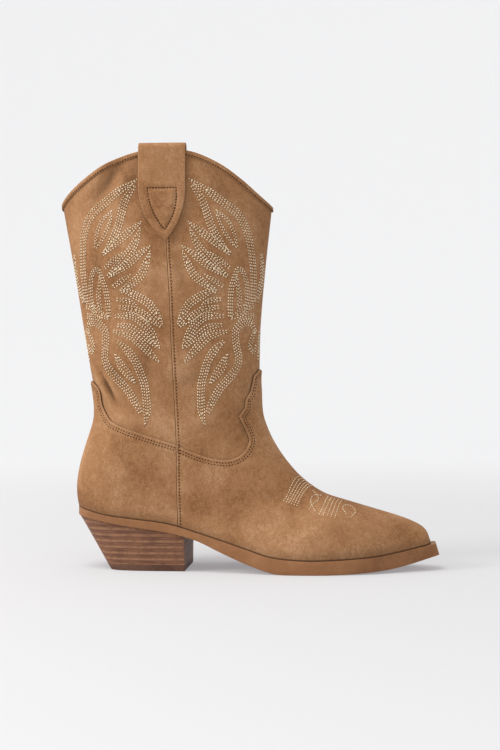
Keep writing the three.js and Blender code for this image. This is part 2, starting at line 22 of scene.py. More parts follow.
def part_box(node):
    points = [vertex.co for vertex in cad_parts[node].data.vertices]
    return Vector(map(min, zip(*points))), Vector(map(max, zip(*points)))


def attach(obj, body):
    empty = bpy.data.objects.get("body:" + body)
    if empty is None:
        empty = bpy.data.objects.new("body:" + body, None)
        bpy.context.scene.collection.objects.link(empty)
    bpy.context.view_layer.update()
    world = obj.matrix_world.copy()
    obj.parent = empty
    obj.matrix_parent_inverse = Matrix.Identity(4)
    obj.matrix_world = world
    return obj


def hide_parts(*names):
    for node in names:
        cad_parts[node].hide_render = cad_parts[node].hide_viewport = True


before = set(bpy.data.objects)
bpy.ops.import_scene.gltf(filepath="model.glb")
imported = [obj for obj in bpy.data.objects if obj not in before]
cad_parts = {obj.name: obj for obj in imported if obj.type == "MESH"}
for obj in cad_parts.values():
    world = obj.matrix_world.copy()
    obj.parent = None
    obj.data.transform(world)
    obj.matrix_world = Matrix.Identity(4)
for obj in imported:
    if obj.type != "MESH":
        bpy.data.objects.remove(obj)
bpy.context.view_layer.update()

log = logging.getLogger("boot")
MM = 0.001
BODY = "root"

# ---------------------------------------------------------------- sizes, in millimetres

OVERLAY = (0.3, 1.8)  # layers, as distances out from the form: vamp and counter
MIDDLE = (-1.5, 0.0)  # shaft, stiffener, puff, interlining
LINING = (-3.0, -1.8)
CAVITY = -3.3
SOLE_MARGIN = 2.3
HEEL_MARGIN = 1.3
HEEL_BREAST = -49.0
HEEL_BASE = 61.0
TOPLIFT = 5.0
LIFTS = 8

# Sections of the form from the mouth to the toe: front x and z, back x and z, half width, belly, two
# powers and shift, as in the frame's own drawing.
SECTIONS = (
    (23, 340, -159, 340, 41, 0.5, 2.1, 2.2, 0),
    (18, 290, -151, 290, 41, 0.5, 2.1, 2.2, 0),
    (12, 235, -141, 235, 39.5, 0.5, 2.1, 2.2, 0),
    (8, 184, -132.8, 184, 36, 0.52, 2.1, 2.2, 0),
    (8, 150, -126.6, 148, 32, 0.54, 2.1, 2.2, 0),
    (8.5, 126, -123.8, 122, 30, 0.56, 2, 2.3, 0),
    (12, 113, -129, 103, 30, 0.6, 2, 2.4, 0),
    (18, 100, -135.2, 82, 30.5, 0.66, 2, 2.4, 0),
    (26.5, 87, -137.6, 60, 31.5, 0.7, 2, 2.4, 0),
    (37, 74.5, -130.5, 38, 32, 0.68, 2, 2.6, 0),
    (47, 66, -104, 16, 32, 0.62, 2, 3, 1),
    (60, 58, -50, -4, 36, 0.56, 2, 3, 0),
    (78, 52.6, 18, -14, 43, 0.54, 1.9, 3, -1),
    (100, 46, 76, -14, 37, 0.52, 1.9, 3, 0.5),
    (119, 40.2, 110, -8, 25.5, 0.52, 1.9, 3, 3),
    (132.5, 34.6, 129, 0, 16.5, 0.5, 2, 3, 4.5),
    (139, 29.6, 138, 6, 12.5, 0.5, 2.2, 3, 5),
    (141.5, 23, 141.5, 13, 8.5, 0.5, 2.4, 3, 5.2),
)
TOE_CAP = 0.02  # length of the closing cap past the last section, as a share of the form
TOE_BULGE = 0.8

SOLE_TOP = (
    (-137, 49), (-110, 43.3), (-65, 37.8), (-36, 29.8), (0, 18.6),
    (20, 12.8), (45, 10.8), (70, 11.2), (100, 13.1), (125, 16.8), (152, 21.8),
)
SOLE_BOTTOM = (
    (-137, 42.5), (-103, 36.4), (-65, 31), (-40, 24.8), (-21, 16.2), (-2, 8.2),
    (15, 2.4), (30, 0), (62, 0), (98, 1.6), (122, 4.8), (153, 12.6),
)
TREAD = (30, 62)
TOP_LINE = (
    (-151, 289), (-134, 303), (-110, 317.8), (-84, 326.8), (-62, 328),
    (-42, 326.4), (-21, 317.5), (-4, 305.5), (7, 296), (18, 287),
)
SIDE_SEAM = (
    (-53.5, 30), (-55, 72), (-55.5, 99.5), (-58.2, 163), (-60, 218), (-62, 257), (-65.2, 335),
)
COUNTER_LINE = (
    (-126, 149), (-118.5, 142), (-117, 132), (-113, 124),
    (-106, 116.5), (-86.5, 109), (-67, 103), (-55.5, 99.5),
)
VAMP_CURVE = (
    (-55.5, 99.5), (-42, 93.3), (-26.5, 88.5), (-13, 87.8), (-4, 92.5), (0.5, 100), (0.2, 106), (-7, 121.5),
)
VAMP_STEPS = ((-2.4, 128), (-1.6, 135), (2.3, 141), (4.2, 149), (4.6, 153), (9, 158.5))
FRONT_TUCK = (
    (-55.5, 90.5), (-26, 79.5), (-6, 80.5), (7, 90), (9.5, 104), (4, 116), (2.5, 128), (6, 140), (24, 149),
)
BACK_TUCK = ((-140, 121), (-122, 116), (-106, 107.5), (-86, 101), (-55.5, 90.5))
LINING_SPLIT = ((-150, 84), (40, 100))
TOE_PUFF_EDGE = ((104, 0), (98, 60))

STRAP_WIDTH = 37.0
STRAP_DROP = 76.0
STRAP_TAPER = 42.0
STRAP_EASE = 0.42
STRAP_LEAN = 3.0
STRAP_INNER_DROP = 58.0
STRAP_TOP = 334.5
STRAP_BEND_Z = 330.0

NAIL_PLACES = ((-117, 0), (-100, 15), (-100, -15), (-68, 17), (-68, -17))
NAIL_HOLE = 1.4

Field = Callable[[np.ndarray], np.ndarray]
Row = tuple[np.ndarray, np.ndarray]  # points of a row of stitches, and the leather's normals there
FAR = 99.0  # distance from an edge, for points that have none near


# ---------------------------------------------------------------- lines and the form


def catmull(points: Sequence[Sequence[float]], share: np.ndarray) -> np.ndarray:
    """Smooth curve through points.

    Args:
        points: What the curve passes through, one row each.
        share: Where to read it, from 0 at the first point to 1 at the last.

    Returns:
        One row for each share.
    """
    p = np.asarray(points, float)
    spans = len(p) - 1
    u = np.clip(np.asarray(share, float), 0, 1) * spans
    i = np.minimum(u.astype(int), spans - 1)
    w = (u - i)[:, None]
    e = np.vstack([2 * p[0] - p[1], p, 2 * p[-1] - p[-2]])
    a, b, c, d = e[i], e[i + 1], e[i + 2], e[i + 3]
    return b + 0.5 * w * (c - a + w * (2 * a - 5 * b + 4 * c - d + w * (3 * (b - c) + d - a)))


def smooth(points: Sequence[Sequence[float]], steps: int = 6) -> np.ndarray:
    """The smooth curve through points, as a fine line."""
    return catmull(points, np.linspace(0, 1, (len(points) - 1) * steps + 1))


def run_along(line: np.ndarray) -> np.ndarray:
    """Distance along a line at each of its points."""
    return np.concatenate([[0], np.cumsum(np.hypot(*np.diff(line, axis=0).T))])


def read_off(line: np.ndarray, run: np.ndarray, at: np.ndarray) -> np.ndarray:
    """Points of a line at distances along it."""
    return np.stack([np.interp(at, run, line[:, i]) for i in (0, 1)], 1)


def inside_ring(ring: np.ndarray, spots: np.ndarray) -> np.ndarray:
    """Whether each spot is inside a closed outline."""
    run = np.roll(ring, -1, axis=0) - ring
    straddle = (ring[:, 1] > spots[:, 1:]) != (np.roll(ring[:, 1], -1) > spots[:, 1:])
    rise = np.where(np.abs(run[:, 1]) < 1e-12, 1e-12, run[:, 1])
    meet = ring[:, 0] + (spots[:, 1:] - ring[:, 1]) * run[:, 0] / rise
    return (straddle & (spots[:, :1] < meet)).sum(1) % 2 == 1


def ring_reach(ring: np.ndarray, spots: np.ndarray) -> np.ndarray:
    """Distance of each spot inside a closed outline, below 0 outside it."""
    run = np.roll(ring, -1, axis=0) - ring
    rel = spots[:, None] - ring[None]
    share = np.clip((rel * run).sum(2) / np.maximum((run**2).sum(1), 1e-9), 0, 1)
    away = np.hypot(*np.moveaxis(rel - share[..., None] * run, 2, 0)).min(1)
    return np.where(inside_ring(ring, spots), away, -away)


def stretches(ok: np.ndarray, least: int) -> list[slice]:
    """Where ok holds for more than a least count of places in a row."""
    made, start = [], None
    for i, good in enumerate([*ok, False]):
        if good and start is None:
            start = i
        if not good and start is not None:
            if i - start > least:
                made.append(slice(start, i))
            start = None
    return made


def bisected(above: Field, low: np.ndarray, high: np.ndarray, rounds: int = 40) -> np.ndarray:
    """Where above stops holding on the way from low to high."""
    for _ in range(rounds):
        middle = (low + high) / 2
        up = above(middle)
        low, high = np.where(up, middle, low), np.where(up, high, middle)
    return middle


def level(z: float) -> Field:
    """The same height at every x."""
    return lambda x: np.full(np.shape(x), z)


class SideLine:
    """A line drawn on the boot's side view, in the frame's x and z, with a high side and a low side."""

    REACH = 600.0

    def __init__(self, line: np.ndarray, shift: float, upright: bool = False) -> None:
        """Args:
            line: Its x and z, forwards, or upwards if it is upright.
            shift: From the drawing's x to the frame's.
            upright: The high side is then ahead of it, and otherwise above it.
        """
        line = np.asarray(line, float) + (shift, 0)
        far = self.REACH
        if upright:
            self.line = np.vstack([[line[0, 0], -far], line, [line[-1, 0], far]])
            self.turn = -1.0
            self.region = np.vstack([self.line, [far, far], [far, -far]])
        else:
            self.line = np.vstack([[-far, line[0, 1]], line, [far, line[-1, 1]]])
            self.turn = 1.0
            self.region = np.vstack([self.line, [far, far], [-far, far]])

    def height(self, x: np.ndarray) -> np.ndarray:
        """The line's z at each x, for a line that runs forwards."""
        return np.interp(x, self.line[:, 0], self.line[:, 1])

    def measure(self, spots: np.ndarray) -> tuple[np.ndarray, np.ndarray]:
        """Signed distance from the line, above 0 on its high side.

        Args:
            spots: x and z, one row each.

        Returns:
            The distances, and the line's own unit normal at the nearest place.
        """
        start, run = self.line[:-1], np.diff(self.line, axis=0)
        length = np.hypot(run[:, 0], run[:, 1])
        rel = spots[:, None, :] - start[None]
        share = np.clip((rel * run).sum(2) / length**2, 0, 1)
        gap = rel - share[..., None] * run
        away = np.hypot(gap[..., 0], gap[..., 1])
        nearest = away.argmin(1)
        distance = away[np.arange(len(spots)), nearest]
        normal = self.turn * np.stack([-run[:, 1], run[:, 0]], 1) / length[:, None]
        return np.where(inside_ring(self.region, spots), distance, -distance), normal[nearest]


@dataclass(frozen=True)
class Crease:
    """A soft hollow or roll in the leather, in side view.

    Attributes:
        x: Middle, along the boot.
        z: Middle, upwards.
        tilt: Degrees its length is turned from level.
        length: How far it reaches each way along itself.
        width: How far it reaches each way across.
        depth: How deep it is; below 0 it is a roll that stands out.
        sides: Its strength on the outer and the inner side of the foot.
    """

    x: float
    z: float
    tilt: float
    length: float
    width: float
    depth: float
    sides: tuple[float, float] = (1.0, 0.6)


CREASES = (
    Crease(-111, 143, -60, 13, 2.2, 3.4),
    Crease(-116, 145, -60, 14, 3.2, -1.6),
    Crease(-106, 144, -60, 14, 3.4, -1.3),
    Crease(-101, 152, -52, 14, 3.6, 1.2),
    Crease(2, 146, 35, 20, 6.0, 0.7),
    Crease(-8, 163, 30, 18, 6.0, -0.5),
    Crease(-108, 306, 50, 24, 5.0, 1.8),
    Crease(-116, 311, 52, 20, 5.0, -1.3),
    Crease(-99, 297, 78, 22, 5.5, -1.2),
    Crease(-90, 302, 70, 22, 5.5, 1.2),
    Crease(-30, 205, 75, 40, 9.0, 1.0),
    Crease(-92, 215, 100, 40, 10.0, 0.9),
    Crease(-20, 300, -60, 22, 7.0, 0.9),
    Crease(-44, 150, 15, 24, 7.0, 0.8),
    Crease(-50, 230, -78, 26, 5.0, 0.9),
    Crease(-78, 165, 80, 30, 7.0, 0.9),
    Crease(-33, 120, 28, 18, 6.0, -1.0),
    Crease(-92, 118, -12, 20, 6.0, -0.9),
    Crease(-118, 236, 84, 20, 5.0, 1.0),
    Crease(30, 60, 20, 18, 5.0, 0.5),
    Crease(20, 45, 12, 22, 6.0, -0.4),
)


class Last:
    """The boot's form: every leather layer lies at a set distance out from its surface.

    A place on it is a row of v, from 0 at the mouth to 1 at the toe, and an angle, 0 at the front and
    pi at the back, below 0 on the outer side of the foot.
    """

    SAMPLES = 680
    BLUR = 9.0  # samples over which the sections are smoothed
    REACH = 24
    RIDGE = 5.0  # mm over which a crease fades from one side of the foot to the other
    STEEPEST = 0.12  # least share of the surface's slope, where it turns square to the side view

    def __init__(self, origin: tuple[float, float]) -> None:
        """Args:
            origin: How far the frame's axes are from the drawing's, along x and y.
        """
        self.origin = np.array([origin[0], origin[1], 0.0])
        self.at = np.linspace(0, 1, self.SAMPLES + 1)
        drawn = catmull(SECTIONS, self.at)
        reach = np.arange(-self.REACH, self.REACH + 1)
        weight = np.exp(-((reach / self.BLUR) ** 2) / 2)
        weight /= weight.sum()
        before = 2 * drawn[0] - drawn[self.REACH : 0 : -1]
        after = 2 * drawn[-1] - drawn[-2 : -2 - self.REACH : -1]
        padded = np.vstack([before, drawn, after])
        self.table = np.stack([np.convolve(padded[:, c], weight, "valid") for c in range(9)], 1)
        self.lines = {
            "sole": self.line(smooth(SOLE_TOP)),
            "top": self.line(smooth(TOP_LINE)),
            "seam": self.line(smooth(SIDE_SEAM), True),
            "counter": self.line(smooth(COUNTER_LINE)),
            "vamp": self.line(np.vstack([smooth(VAMP_CURVE), VAMP_STEPS])),
            "front_tuck": self.line(smooth(FRONT_TUCK)),
            "back_tuck": self.line(smooth(BACK_TUCK)),
            "split": self.line(np.array(LINING_SPLIT)),
            "puff": self.line(np.array(TOE_PUFF_EDGE), True),
        }

    def line(self, points: np.ndarray, upright: bool = False) -> SideLine:
        """A drawn line, moved to the frame's axes."""
        return SideLine(points, self.origin[0], upright)

    def sizes(self, v: np.ndarray) -> list[np.ndarray]:
        """The nine sizes of the section at each v."""
        return [np.interp(v, self.at, self.table[:, c]) for c in range(9)]

    def base(self, v: np.ndarray, angle: np.ndarray) -> np.ndarray:
        """Points of the bare form."""
        fx, fz, bx, bz, half, belly, p0, p1, shift = self.sizes(np.minimum(v, 1))
        c, s = np.cos(angle), np.sin(angle)
        power = np.where(c > 0, p0, p1)
        radius = (np.abs(c) ** power + np.abs(s) ** power) ** (-1 / power)
        share = belly - radius * c * np.where(c > 0, belly, 1 - belly)
        points = np.stack([fx + (bx - fx) * share, shift + radius * s * half, fz + (bz - fz) * share], -1)
        past = np.clip((v - 1) / TOE_CAP, 0, 1)
        if np.any(past > 0):
            middle = np.stack([fx + (bx - fx) * belly, shift, fz + (bz - fz) * belly], -1)
            bend = past * np.pi / 2
            points = middle + (points - middle) * np.cos(bend)[..., None]
            points[..., 0] += TOE_BULGE * np.sin(bend)
        return points + self.origin

    def normal(self, v: np.ndarray, angle: np.ndarray) -> np.ndarray:
        """Unit normals of the bare form, outwards."""
        step = 1e-3
        across = self.base(v, angle + step) - self.base(v, angle - step)
        top = 1 + TOE_CAP * 0.999
        down = self.base(np.minimum(v + step, top), angle) - self.base(np.maximum(v - step, 0), angle)
        normal = np.cross(down, across)
        return normal / np.maximum(np.linalg.norm(normal, axis=-1, keepdims=True), 1e-12)

    def relief(self, points: np.ndarray) -> np.ndarray:
        """How far creases move the leather out at each point of the bare form."""
        out = np.zeros(points.shape[:-1])
        side = 1 / (1 + np.exp(points[..., 1] / self.RIDGE))
        for crease in CREASES:
            dx = points[..., 0] - crease.x - self.origin[0]
            dz = points[..., 2] - crease.z
            c, s = math.cos(math.radians(crease.tilt)), math.sin(math.radians(crease.tilt))
            along, over = (dx * c + dz * s) / crease.length, (dz * c - dx * s) / crease.width
            strength = crease.sides[0] * side + crease.sides[1] * (1 - side)
            out -= crease.depth * strength * np.exp(-(along**2 + over**2))
        return out

    def point(self, v: np.ndarray, angle: np.ndarray, offset: np.ndarray | float = 0.0) -> np.ndarray:
        """Points at an offset out from the form, creases included."""
        base = self.base(v, angle)
        out = np.asarray(offset) + self.relief(base)
        return base + self.normal(v, angle) * out[..., None]

    def on(self, sheet: np.ndarray, offset: np.ndarray | float = 0.0) -> Row:
        """Points at an offset out from places, given as v and angle, and the unit normals there."""
        return self.point(sheet[:, 0], sheet[:, 1], offset), self.normal(sheet[:, 0], sheet[:, 1])

    def field(self, line: SideLine, offset: float) -> Field:
        """Distance over the leather's surface from a side-view line, for places given as v and angle."""

        def measure(sheet: np.ndarray) -> np.ndarray:
            v, angle = sheet[:, 0], sheet[:, 1]
            base, normal = self.base(v, angle), self.normal(v, angle)
            spots = base + normal * offset
            distance, slope = line.measure(spots[:, (0, 2)])
            lean = (normal[:, (0, 2)] * slope).sum(1)
            return distance / np.sqrt(np.maximum(1 - lean**2, self.STEEPEST))

        return measure

    def rows(self, pitch: float, start: float = 0.0, stop: float = 1.0) -> np.ndarray:
        """Values of v about pitch apart along the leather, with the toe's cap after 1."""
        front = np.hypot(*np.diff(self.table[:, 0:2], axis=0).T)
        back = np.hypot(*np.diff(self.table[:, 2:4], axis=0).T)
        run = np.concatenate([[0], np.cumsum(np.maximum(front, back))])
        low, high = np.interp([start, min(stop, 1)], self.at, run)
        values = np.interp(np.linspace(low, high, max(int((high - low) / pitch), 2) + 1), run, self.at)
        cap = 1 + TOE_CAP * np.array([0.2, 0.4, 0.6, 0.8, 0.97])
        return np.concatenate([values, cap]) if stop > 1 else values

    def locate(
        self, target: np.ndarray, axes: tuple[int, int], guess: tuple[float, float], offset: float
    ) -> np.ndarray:
        """Places whose point has two given coordinates.

        Args:
            target: The two coordinates, one row each.
            axes: Which coordinates they are.
            guess: A v and an angle near the answer.
            offset: Distance out from the form.

        Returns:
            v and angle, one row each.
        """
        sheet = np.tile(np.array(guess, float), (len(target), 1))
        for _ in range(40):
            here = self.point(sheet[:, 0], sheet[:, 1], offset)[:, axes]
            dv = (self.point(sheet[:, 0] + 1e-4, sheet[:, 1], offset)[:, axes] - here) / 1e-4
            da = (self.point(sheet[:, 0], sheet[:, 1] + 1e-4, offset)[:, axes] - here) / 1e-4
            miss = target - here
            det = dv[:, 0] * da[:, 1] - dv[:, 1] * da[:, 0]
            det = np.where(np.abs(det) < 1e-6, 1e-6, det)
            move_v = (miss[:, 0] * da[:, 1] - miss[:, 1] * da[:, 0]) / det
            move_a = (dv[:, 0] * miss[:, 1] - dv[:, 1] * miss[:, 0]) / det
            sheet += np.stack([np.clip(move_v, -0.05, 0.05), np.clip(move_a, -0.3, 0.3)], 1)
            sheet[:, 0] = np.clip(sheet[:, 0], 0, 1)
        return sheet

    def feather(self, margin: float, count: int = 150) -> np.ndarray:
        """Plan outline of the upper where it meets the sole, moved out by a margin.

        Args:
            margin: How far out; below 0 it is moved in.
            count: Places along each side of the foot.

        Returns:
            The closed outline, from the heel to the toe along the outer side and back.
        """
        top = self.lines["sole"]

        def over(v: np.ndarray, share: np.ndarray) -> np.ndarray:
            fx, fz, bx, bz = self.sizes(v)[:4]
            x, z = fx + (bx - fx) * share, fz + (bz - fz) * share
            return z - top.height(x + self.origin[0])

        heel = bisected(lambda v: over(v, np.ones(1)) > 0, np.array([0.4]), np.array([0.7]))
        start = float(heel[0])
        v = start + (1 - start) * (1 - np.cos(np.pi * np.arange(1, count + 1) / count)) / 2
        share = bisected(lambda middle: over(v, middle) > 0, np.zeros(count), np.ones(count))
        fx, _, bx, _, half, belly, p0, p1, shift = self.sizes(v)
        ahead = share < belly
        reach = np.clip(np.where(ahead, (belly - share) / belly, (share - belly) / (1 - belly)), 0, 1)
        power = np.where(ahead, p0, p1)
        wide = half * (1 - reach**power) ** (1 / power)
        x = fx + (bx - fx) * share
        kept = [0]
        for i in range(1, count):
            if x[i] > x[kept[-1]] + 0.15:
                kept.append(i)
        x, wide, shift = x[kept], wide[kept], shift[kept]
        outline = np.vstack([np.stack([x, shift - wide], 1), np.stack([x, shift + wide], 1)[::-1]])
        return moved_out(resampled(outline, 1.6), margin) + self.origin[:2]


# ---------------------------------------------------------------- outlines


def resampled(outline: np.ndarray, pitch: float) -> np.ndarray:
    """A closed outline with points about pitch apart."""
    ring = np.vstack([outline, outline[:1]])
    run = run_along(ring)
    return read_off(ring, run, np.linspace(0, run[-1], max(int(run[-1] / pitch), 8) + 1)[:-1])


def moved_out(outline: np.ndarray, margin: np.ndarray | float) -> np.ndarray:
    """A closed outline that runs anticlockwise, moved out by a margin."""
    run = np.roll(outline, -1, axis=0) - np.roll(outline, 1, axis=0)
    run /= np.maximum(np.hypot(run[:, 0], run[:, 1]), 1e-9)[:, None]
    return outline + np.stack([run[:, 1], -run[:, 0]], 1) * np.asarray(margin)[..., None]


def squared(
    outline: np.ndarray, stop: float, x: float, sides: tuple[float, float] | None = None
) -> np.ndarray:
    """A closed outline cut off at x = stop and closed by a straight end.

    Args:
        outline: It runs forwards on the side of lower y, and back.
        stop: Where it is cut.
        x: Of the straight end.
        sides: y of the end's two corners; if not given they stay in line with the cut.

    Returns:
        The outline, with the end's two corners in it.
    """
    kept = outline[outline[:, 0] < stop]
    turn = int(np.argmax(np.hypot(*np.diff(kept, axis=0).T))) + 1
    low, high = sides or (kept[turn - 1, 1], kept[turn, 1])
    return np.vstack([kept[:turn], [[x, low], [x, high]], kept[turn:]])


def softened(outline: np.ndarray, rounds: int) -> np.ndarray:
    """A closed outline with its corners eased."""
    for _ in range(rounds):
        outline = 0.5 * outline + 0.25 * (np.roll(outline, 1, axis=0) + np.roll(outline, -1, axis=0))
    return outline


# ---------------------------------------------------------------- meshes


def placed(name: str, data: bpy.types.ID) -> bpy.types.Object:
    """A new object in the scene, at the origin."""
    piece = bpy.data.objects.new(name, data)
    bpy.context.scene.collection.objects.link(piece)
    return piece


@dataclass
class Shape:
    """A mesh before Blender: points in millimetres, faces, and numbers carried by the points."""

    points: np.ndarray
    faces: list[tuple[int, ...]]
    # edge, seat and hollow drive painted light in the leather: a painted shadow line at cut edges, painted
    # shade along the sole, painted shade in creases and a painted highlight on rolls.
    edge: np.ndarray | None = None
    seat: np.ndarray | None = None
    hollow: np.ndarray | None = None

    def piece(self, name: str, finish: bpy.types.Material, sharp: float = 50.0) -> bpy.types.Object:
        """Makes the Blender object.

        Args:
            name: Its name.
            finish: Its material.
            sharp: Degrees past which an edge is shown sharp.

        Returns:
            The object, at the origin, with its place in its mesh.
        """
        mesh = bpy.data.meshes.new(name)
        mesh.from_pydata((self.points * MM).tolist(), [], self.faces)
        # Distance from a cut edge, distance from the sole and crease depth, read by the leather for its edge
        # tone and painted light.
        carried = (("edge", self.edge, FAR), ("seat", self.seat, FAR), ("hollow", self.hollow, 0.0))
        for kind, values, usual in carried:
            reach = mesh.attributes.new(kind, "FLOAT", "POINT")
            values = np.full(len(self.points), usual) if values is None else values
            reach.data.foreach_set("value", values.astype(np.float32))
        mesh.validate()
        mesh.materials.append(finish)
        mesh.shade_smooth()
        mesh.set_sharp_from_angle(angle=math.radians(sharp))
        return placed(name, mesh)


def joined(shapes: Sequence[Shape]) -> Shape:
    """Several plain shapes as one."""
    faces, base = [], 0
    for shape in shapes:
        faces += [tuple(i + base for i in face) for face in shape.faces]
        base += len(shape.points)
    return Shape(np.vstack([shape.points for shape in shapes]), faces)


def dressed(piece: bpy.types.Object, slot: str, *nodes: str) -> bpy.types.Object:
    """Joins a finished piece to the frame: it rides on the boot and stands for CAD nodes."""
    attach(piece, BODY)
    if nodes:
        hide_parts(*nodes)
    count = sum(len(p.vertices) - 2 for p in piece.data.polygons)
    log.info("%s: %d triangles, for %s", piece.name, count, ", ".join(nodes) or "no node")
    return piece


def ribbon(rings: Sequence[np.ndarray], closed_path: bool = False) -> Shape:
    """A closed ring of points carried along a path.

    Args:
        rings: One ring of points for each station, all with the same count.
        closed_path: The last ring joins the first, and otherwise both ends are filled.

    Returns:
        The shape, its faces outwards if the rings run anticlockwise seen from ahead of the path.
    """
    count, width = len(rings), len(rings[0])
    k = np.arange(count * width).reshape(count, width)
    here, ahead = (k, np.roll(k, -1, axis=0)) if closed_path else (k[:-1], k[1:])
    corners = [here, np.roll(here, -1, axis=1), np.roll(ahead, -1, axis=1), ahead]
    quads = np.stack(corners, -1).reshape(-1, 4)
    faces = [tuple(q) for q in quads.tolist()]
    if not closed_path:
        faces += [tuple(k[0][::-1].tolist()), tuple(k[-1].tolist())]
    return Shape(np.vstack(rings), faces)


def slab(
    low: np.ndarray,
    high: np.ndarray,
    floor: Field,
    ceiling: Field,
    rounding: float,
    grid: float = 6.0,
) -> Shape:
    """A flat piece between two outlines, with rounded edges.

    Args:
        low: Its outline at the bottom, anticlockwise.
        high: Its outline at the top, with the same count of points.
        floor: Bottom z at each x.
        ceiling: Top z at each x.
        rounding: Radius of its edges.
        grid: Spacing of the points inside its faces.

    Returns:
        The closed shape.
    """
    bends = [(1.0, 0.0), (0.45, 0.12), (0.12, 0.45), (0.0, 1.0)]
    rings = []
    for inset, lift in bends:
        ring = moved_out(low, -inset * rounding)
        rings.append(np.column_stack([ring, floor(ring[:, 0]) + lift * rounding]))
    for share in (0.33, 0.66):
        ring = low + (high - low) * share
        z = floor(ring[:, 0]) * (1 - share) + ceiling(ring[:, 0]) * share
        rings.append(np.column_stack([ring, z]))
    for inset, lift in reversed(bends):
        ring = moved_out(high, -inset * rounding)
        rings.append(np.column_stack([ring, ceiling(ring[:, 0]) - lift * rounding]))
    width = len(low)
    k = np.arange(len(rings) * width).reshape(len(rings), width)
    right = np.roll(k, -1, axis=1)
    quads = np.stack([k[:-1], right[:-1], right[1:], k[1:]], -1).reshape(-1, 4)
    points, faces = list(np.vstack(rings)), [tuple(q) for q in quads.tolist()]
    for ring, start, flip, height in ((rings[0], 0, True, floor), (rings[-1], k[-1, 0], False, ceiling)):
        cap_points, cap_faces = filled(ring[:, :2], grid)
        index = []
        for number, spot in cap_points:
            if number < width:
                index.append(start + number)
            else:
                index.append(len(points))
                points.append(np.array([spot[0], spot[1], float(height(np.array([spot[0]]))[0])]))
        for face in cap_faces:
            corners = tuple(index[i] for i in face)
            faces.append(corners[::-1] if flip else corners)
    return Shape(np.array(points), faces)


Places = list[tuple[int, tuple[float, float]]]


def filled(outline: np.ndarray, grid: float) -> tuple[Places, list[list[int]]]:
    """Triangles that fill an outline, with a grid of points inside it.

    Args:
        outline: Closed, anticlockwise.
        grid: Spacing of the points.

    Returns:
        For each point its number, which is below the outline's count for the outline's own, with its
        place, and the faces, anticlockwise.
    """
    low, high = outline.min(0), outline.max(0)
    xs, ys = (np.arange(low[i] + grid / 2, high[i], grid) for i in (0, 1))
    spots = np.stack(np.meshgrid(xs, ys, indexing="ij"), -1).reshape(-1, 2)
    every = np.vstack([outline, spots[ring_reach(outline, spots) > grid * 0.4]])
    loop = list(range(len(outline)))
    made = delaunay_2d_cdt([Vector(p) for p in every.tolist()], [], [loop], 1, 1e-6)
    points, faces, sources = made[0], made[2], made[3]
    places = []
    for i, place in enumerate(points):
        own = [n for n in sources[i] if n < len(outline)]
        places.append((own[0] if own else len(outline) + i, (place.x, place.y)))
    good = []
    for face in faces:
        a, b, c = (points[i] for i in face[:3])
        turn = (b - a).cross(c - a)
        good.append(list(face) if turn > 0 else list(face)[::-1])
    return places, good


def carved(piece: bpy.types.Object, cutters: Sequence[Shape]) -> bpy.types.Object:
    """Cuts shapes out of a piece."""
    tools = []
    for number, cutter in enumerate(cutters):
        tool = cutter.piece(f"cutter_{number}", piece.data.materials[0])
        change = piece.modifiers.new(f"cut_{number}", "BOOLEAN")
        change.operation, change.solver, change.object = "DIFFERENCE", "MANIFOLD", tool
        tools.append(tool)
    graph = bpy.context.evaluated_depsgraph_get()
    made = bpy.data.meshes.new_from_object(piece.evaluated_get(graph))
    finish = piece.data.materials[0]
    piece.modifiers.clear()
    old, piece.data = piece.data, made
    made.name = old.name
    made.materials.clear()
    made.materials.append(finish)
    for tool in tools:
        bpy.data.objects.remove(tool)
    made.set_sharp_from_angle(angle=math.radians(40))
    return piece


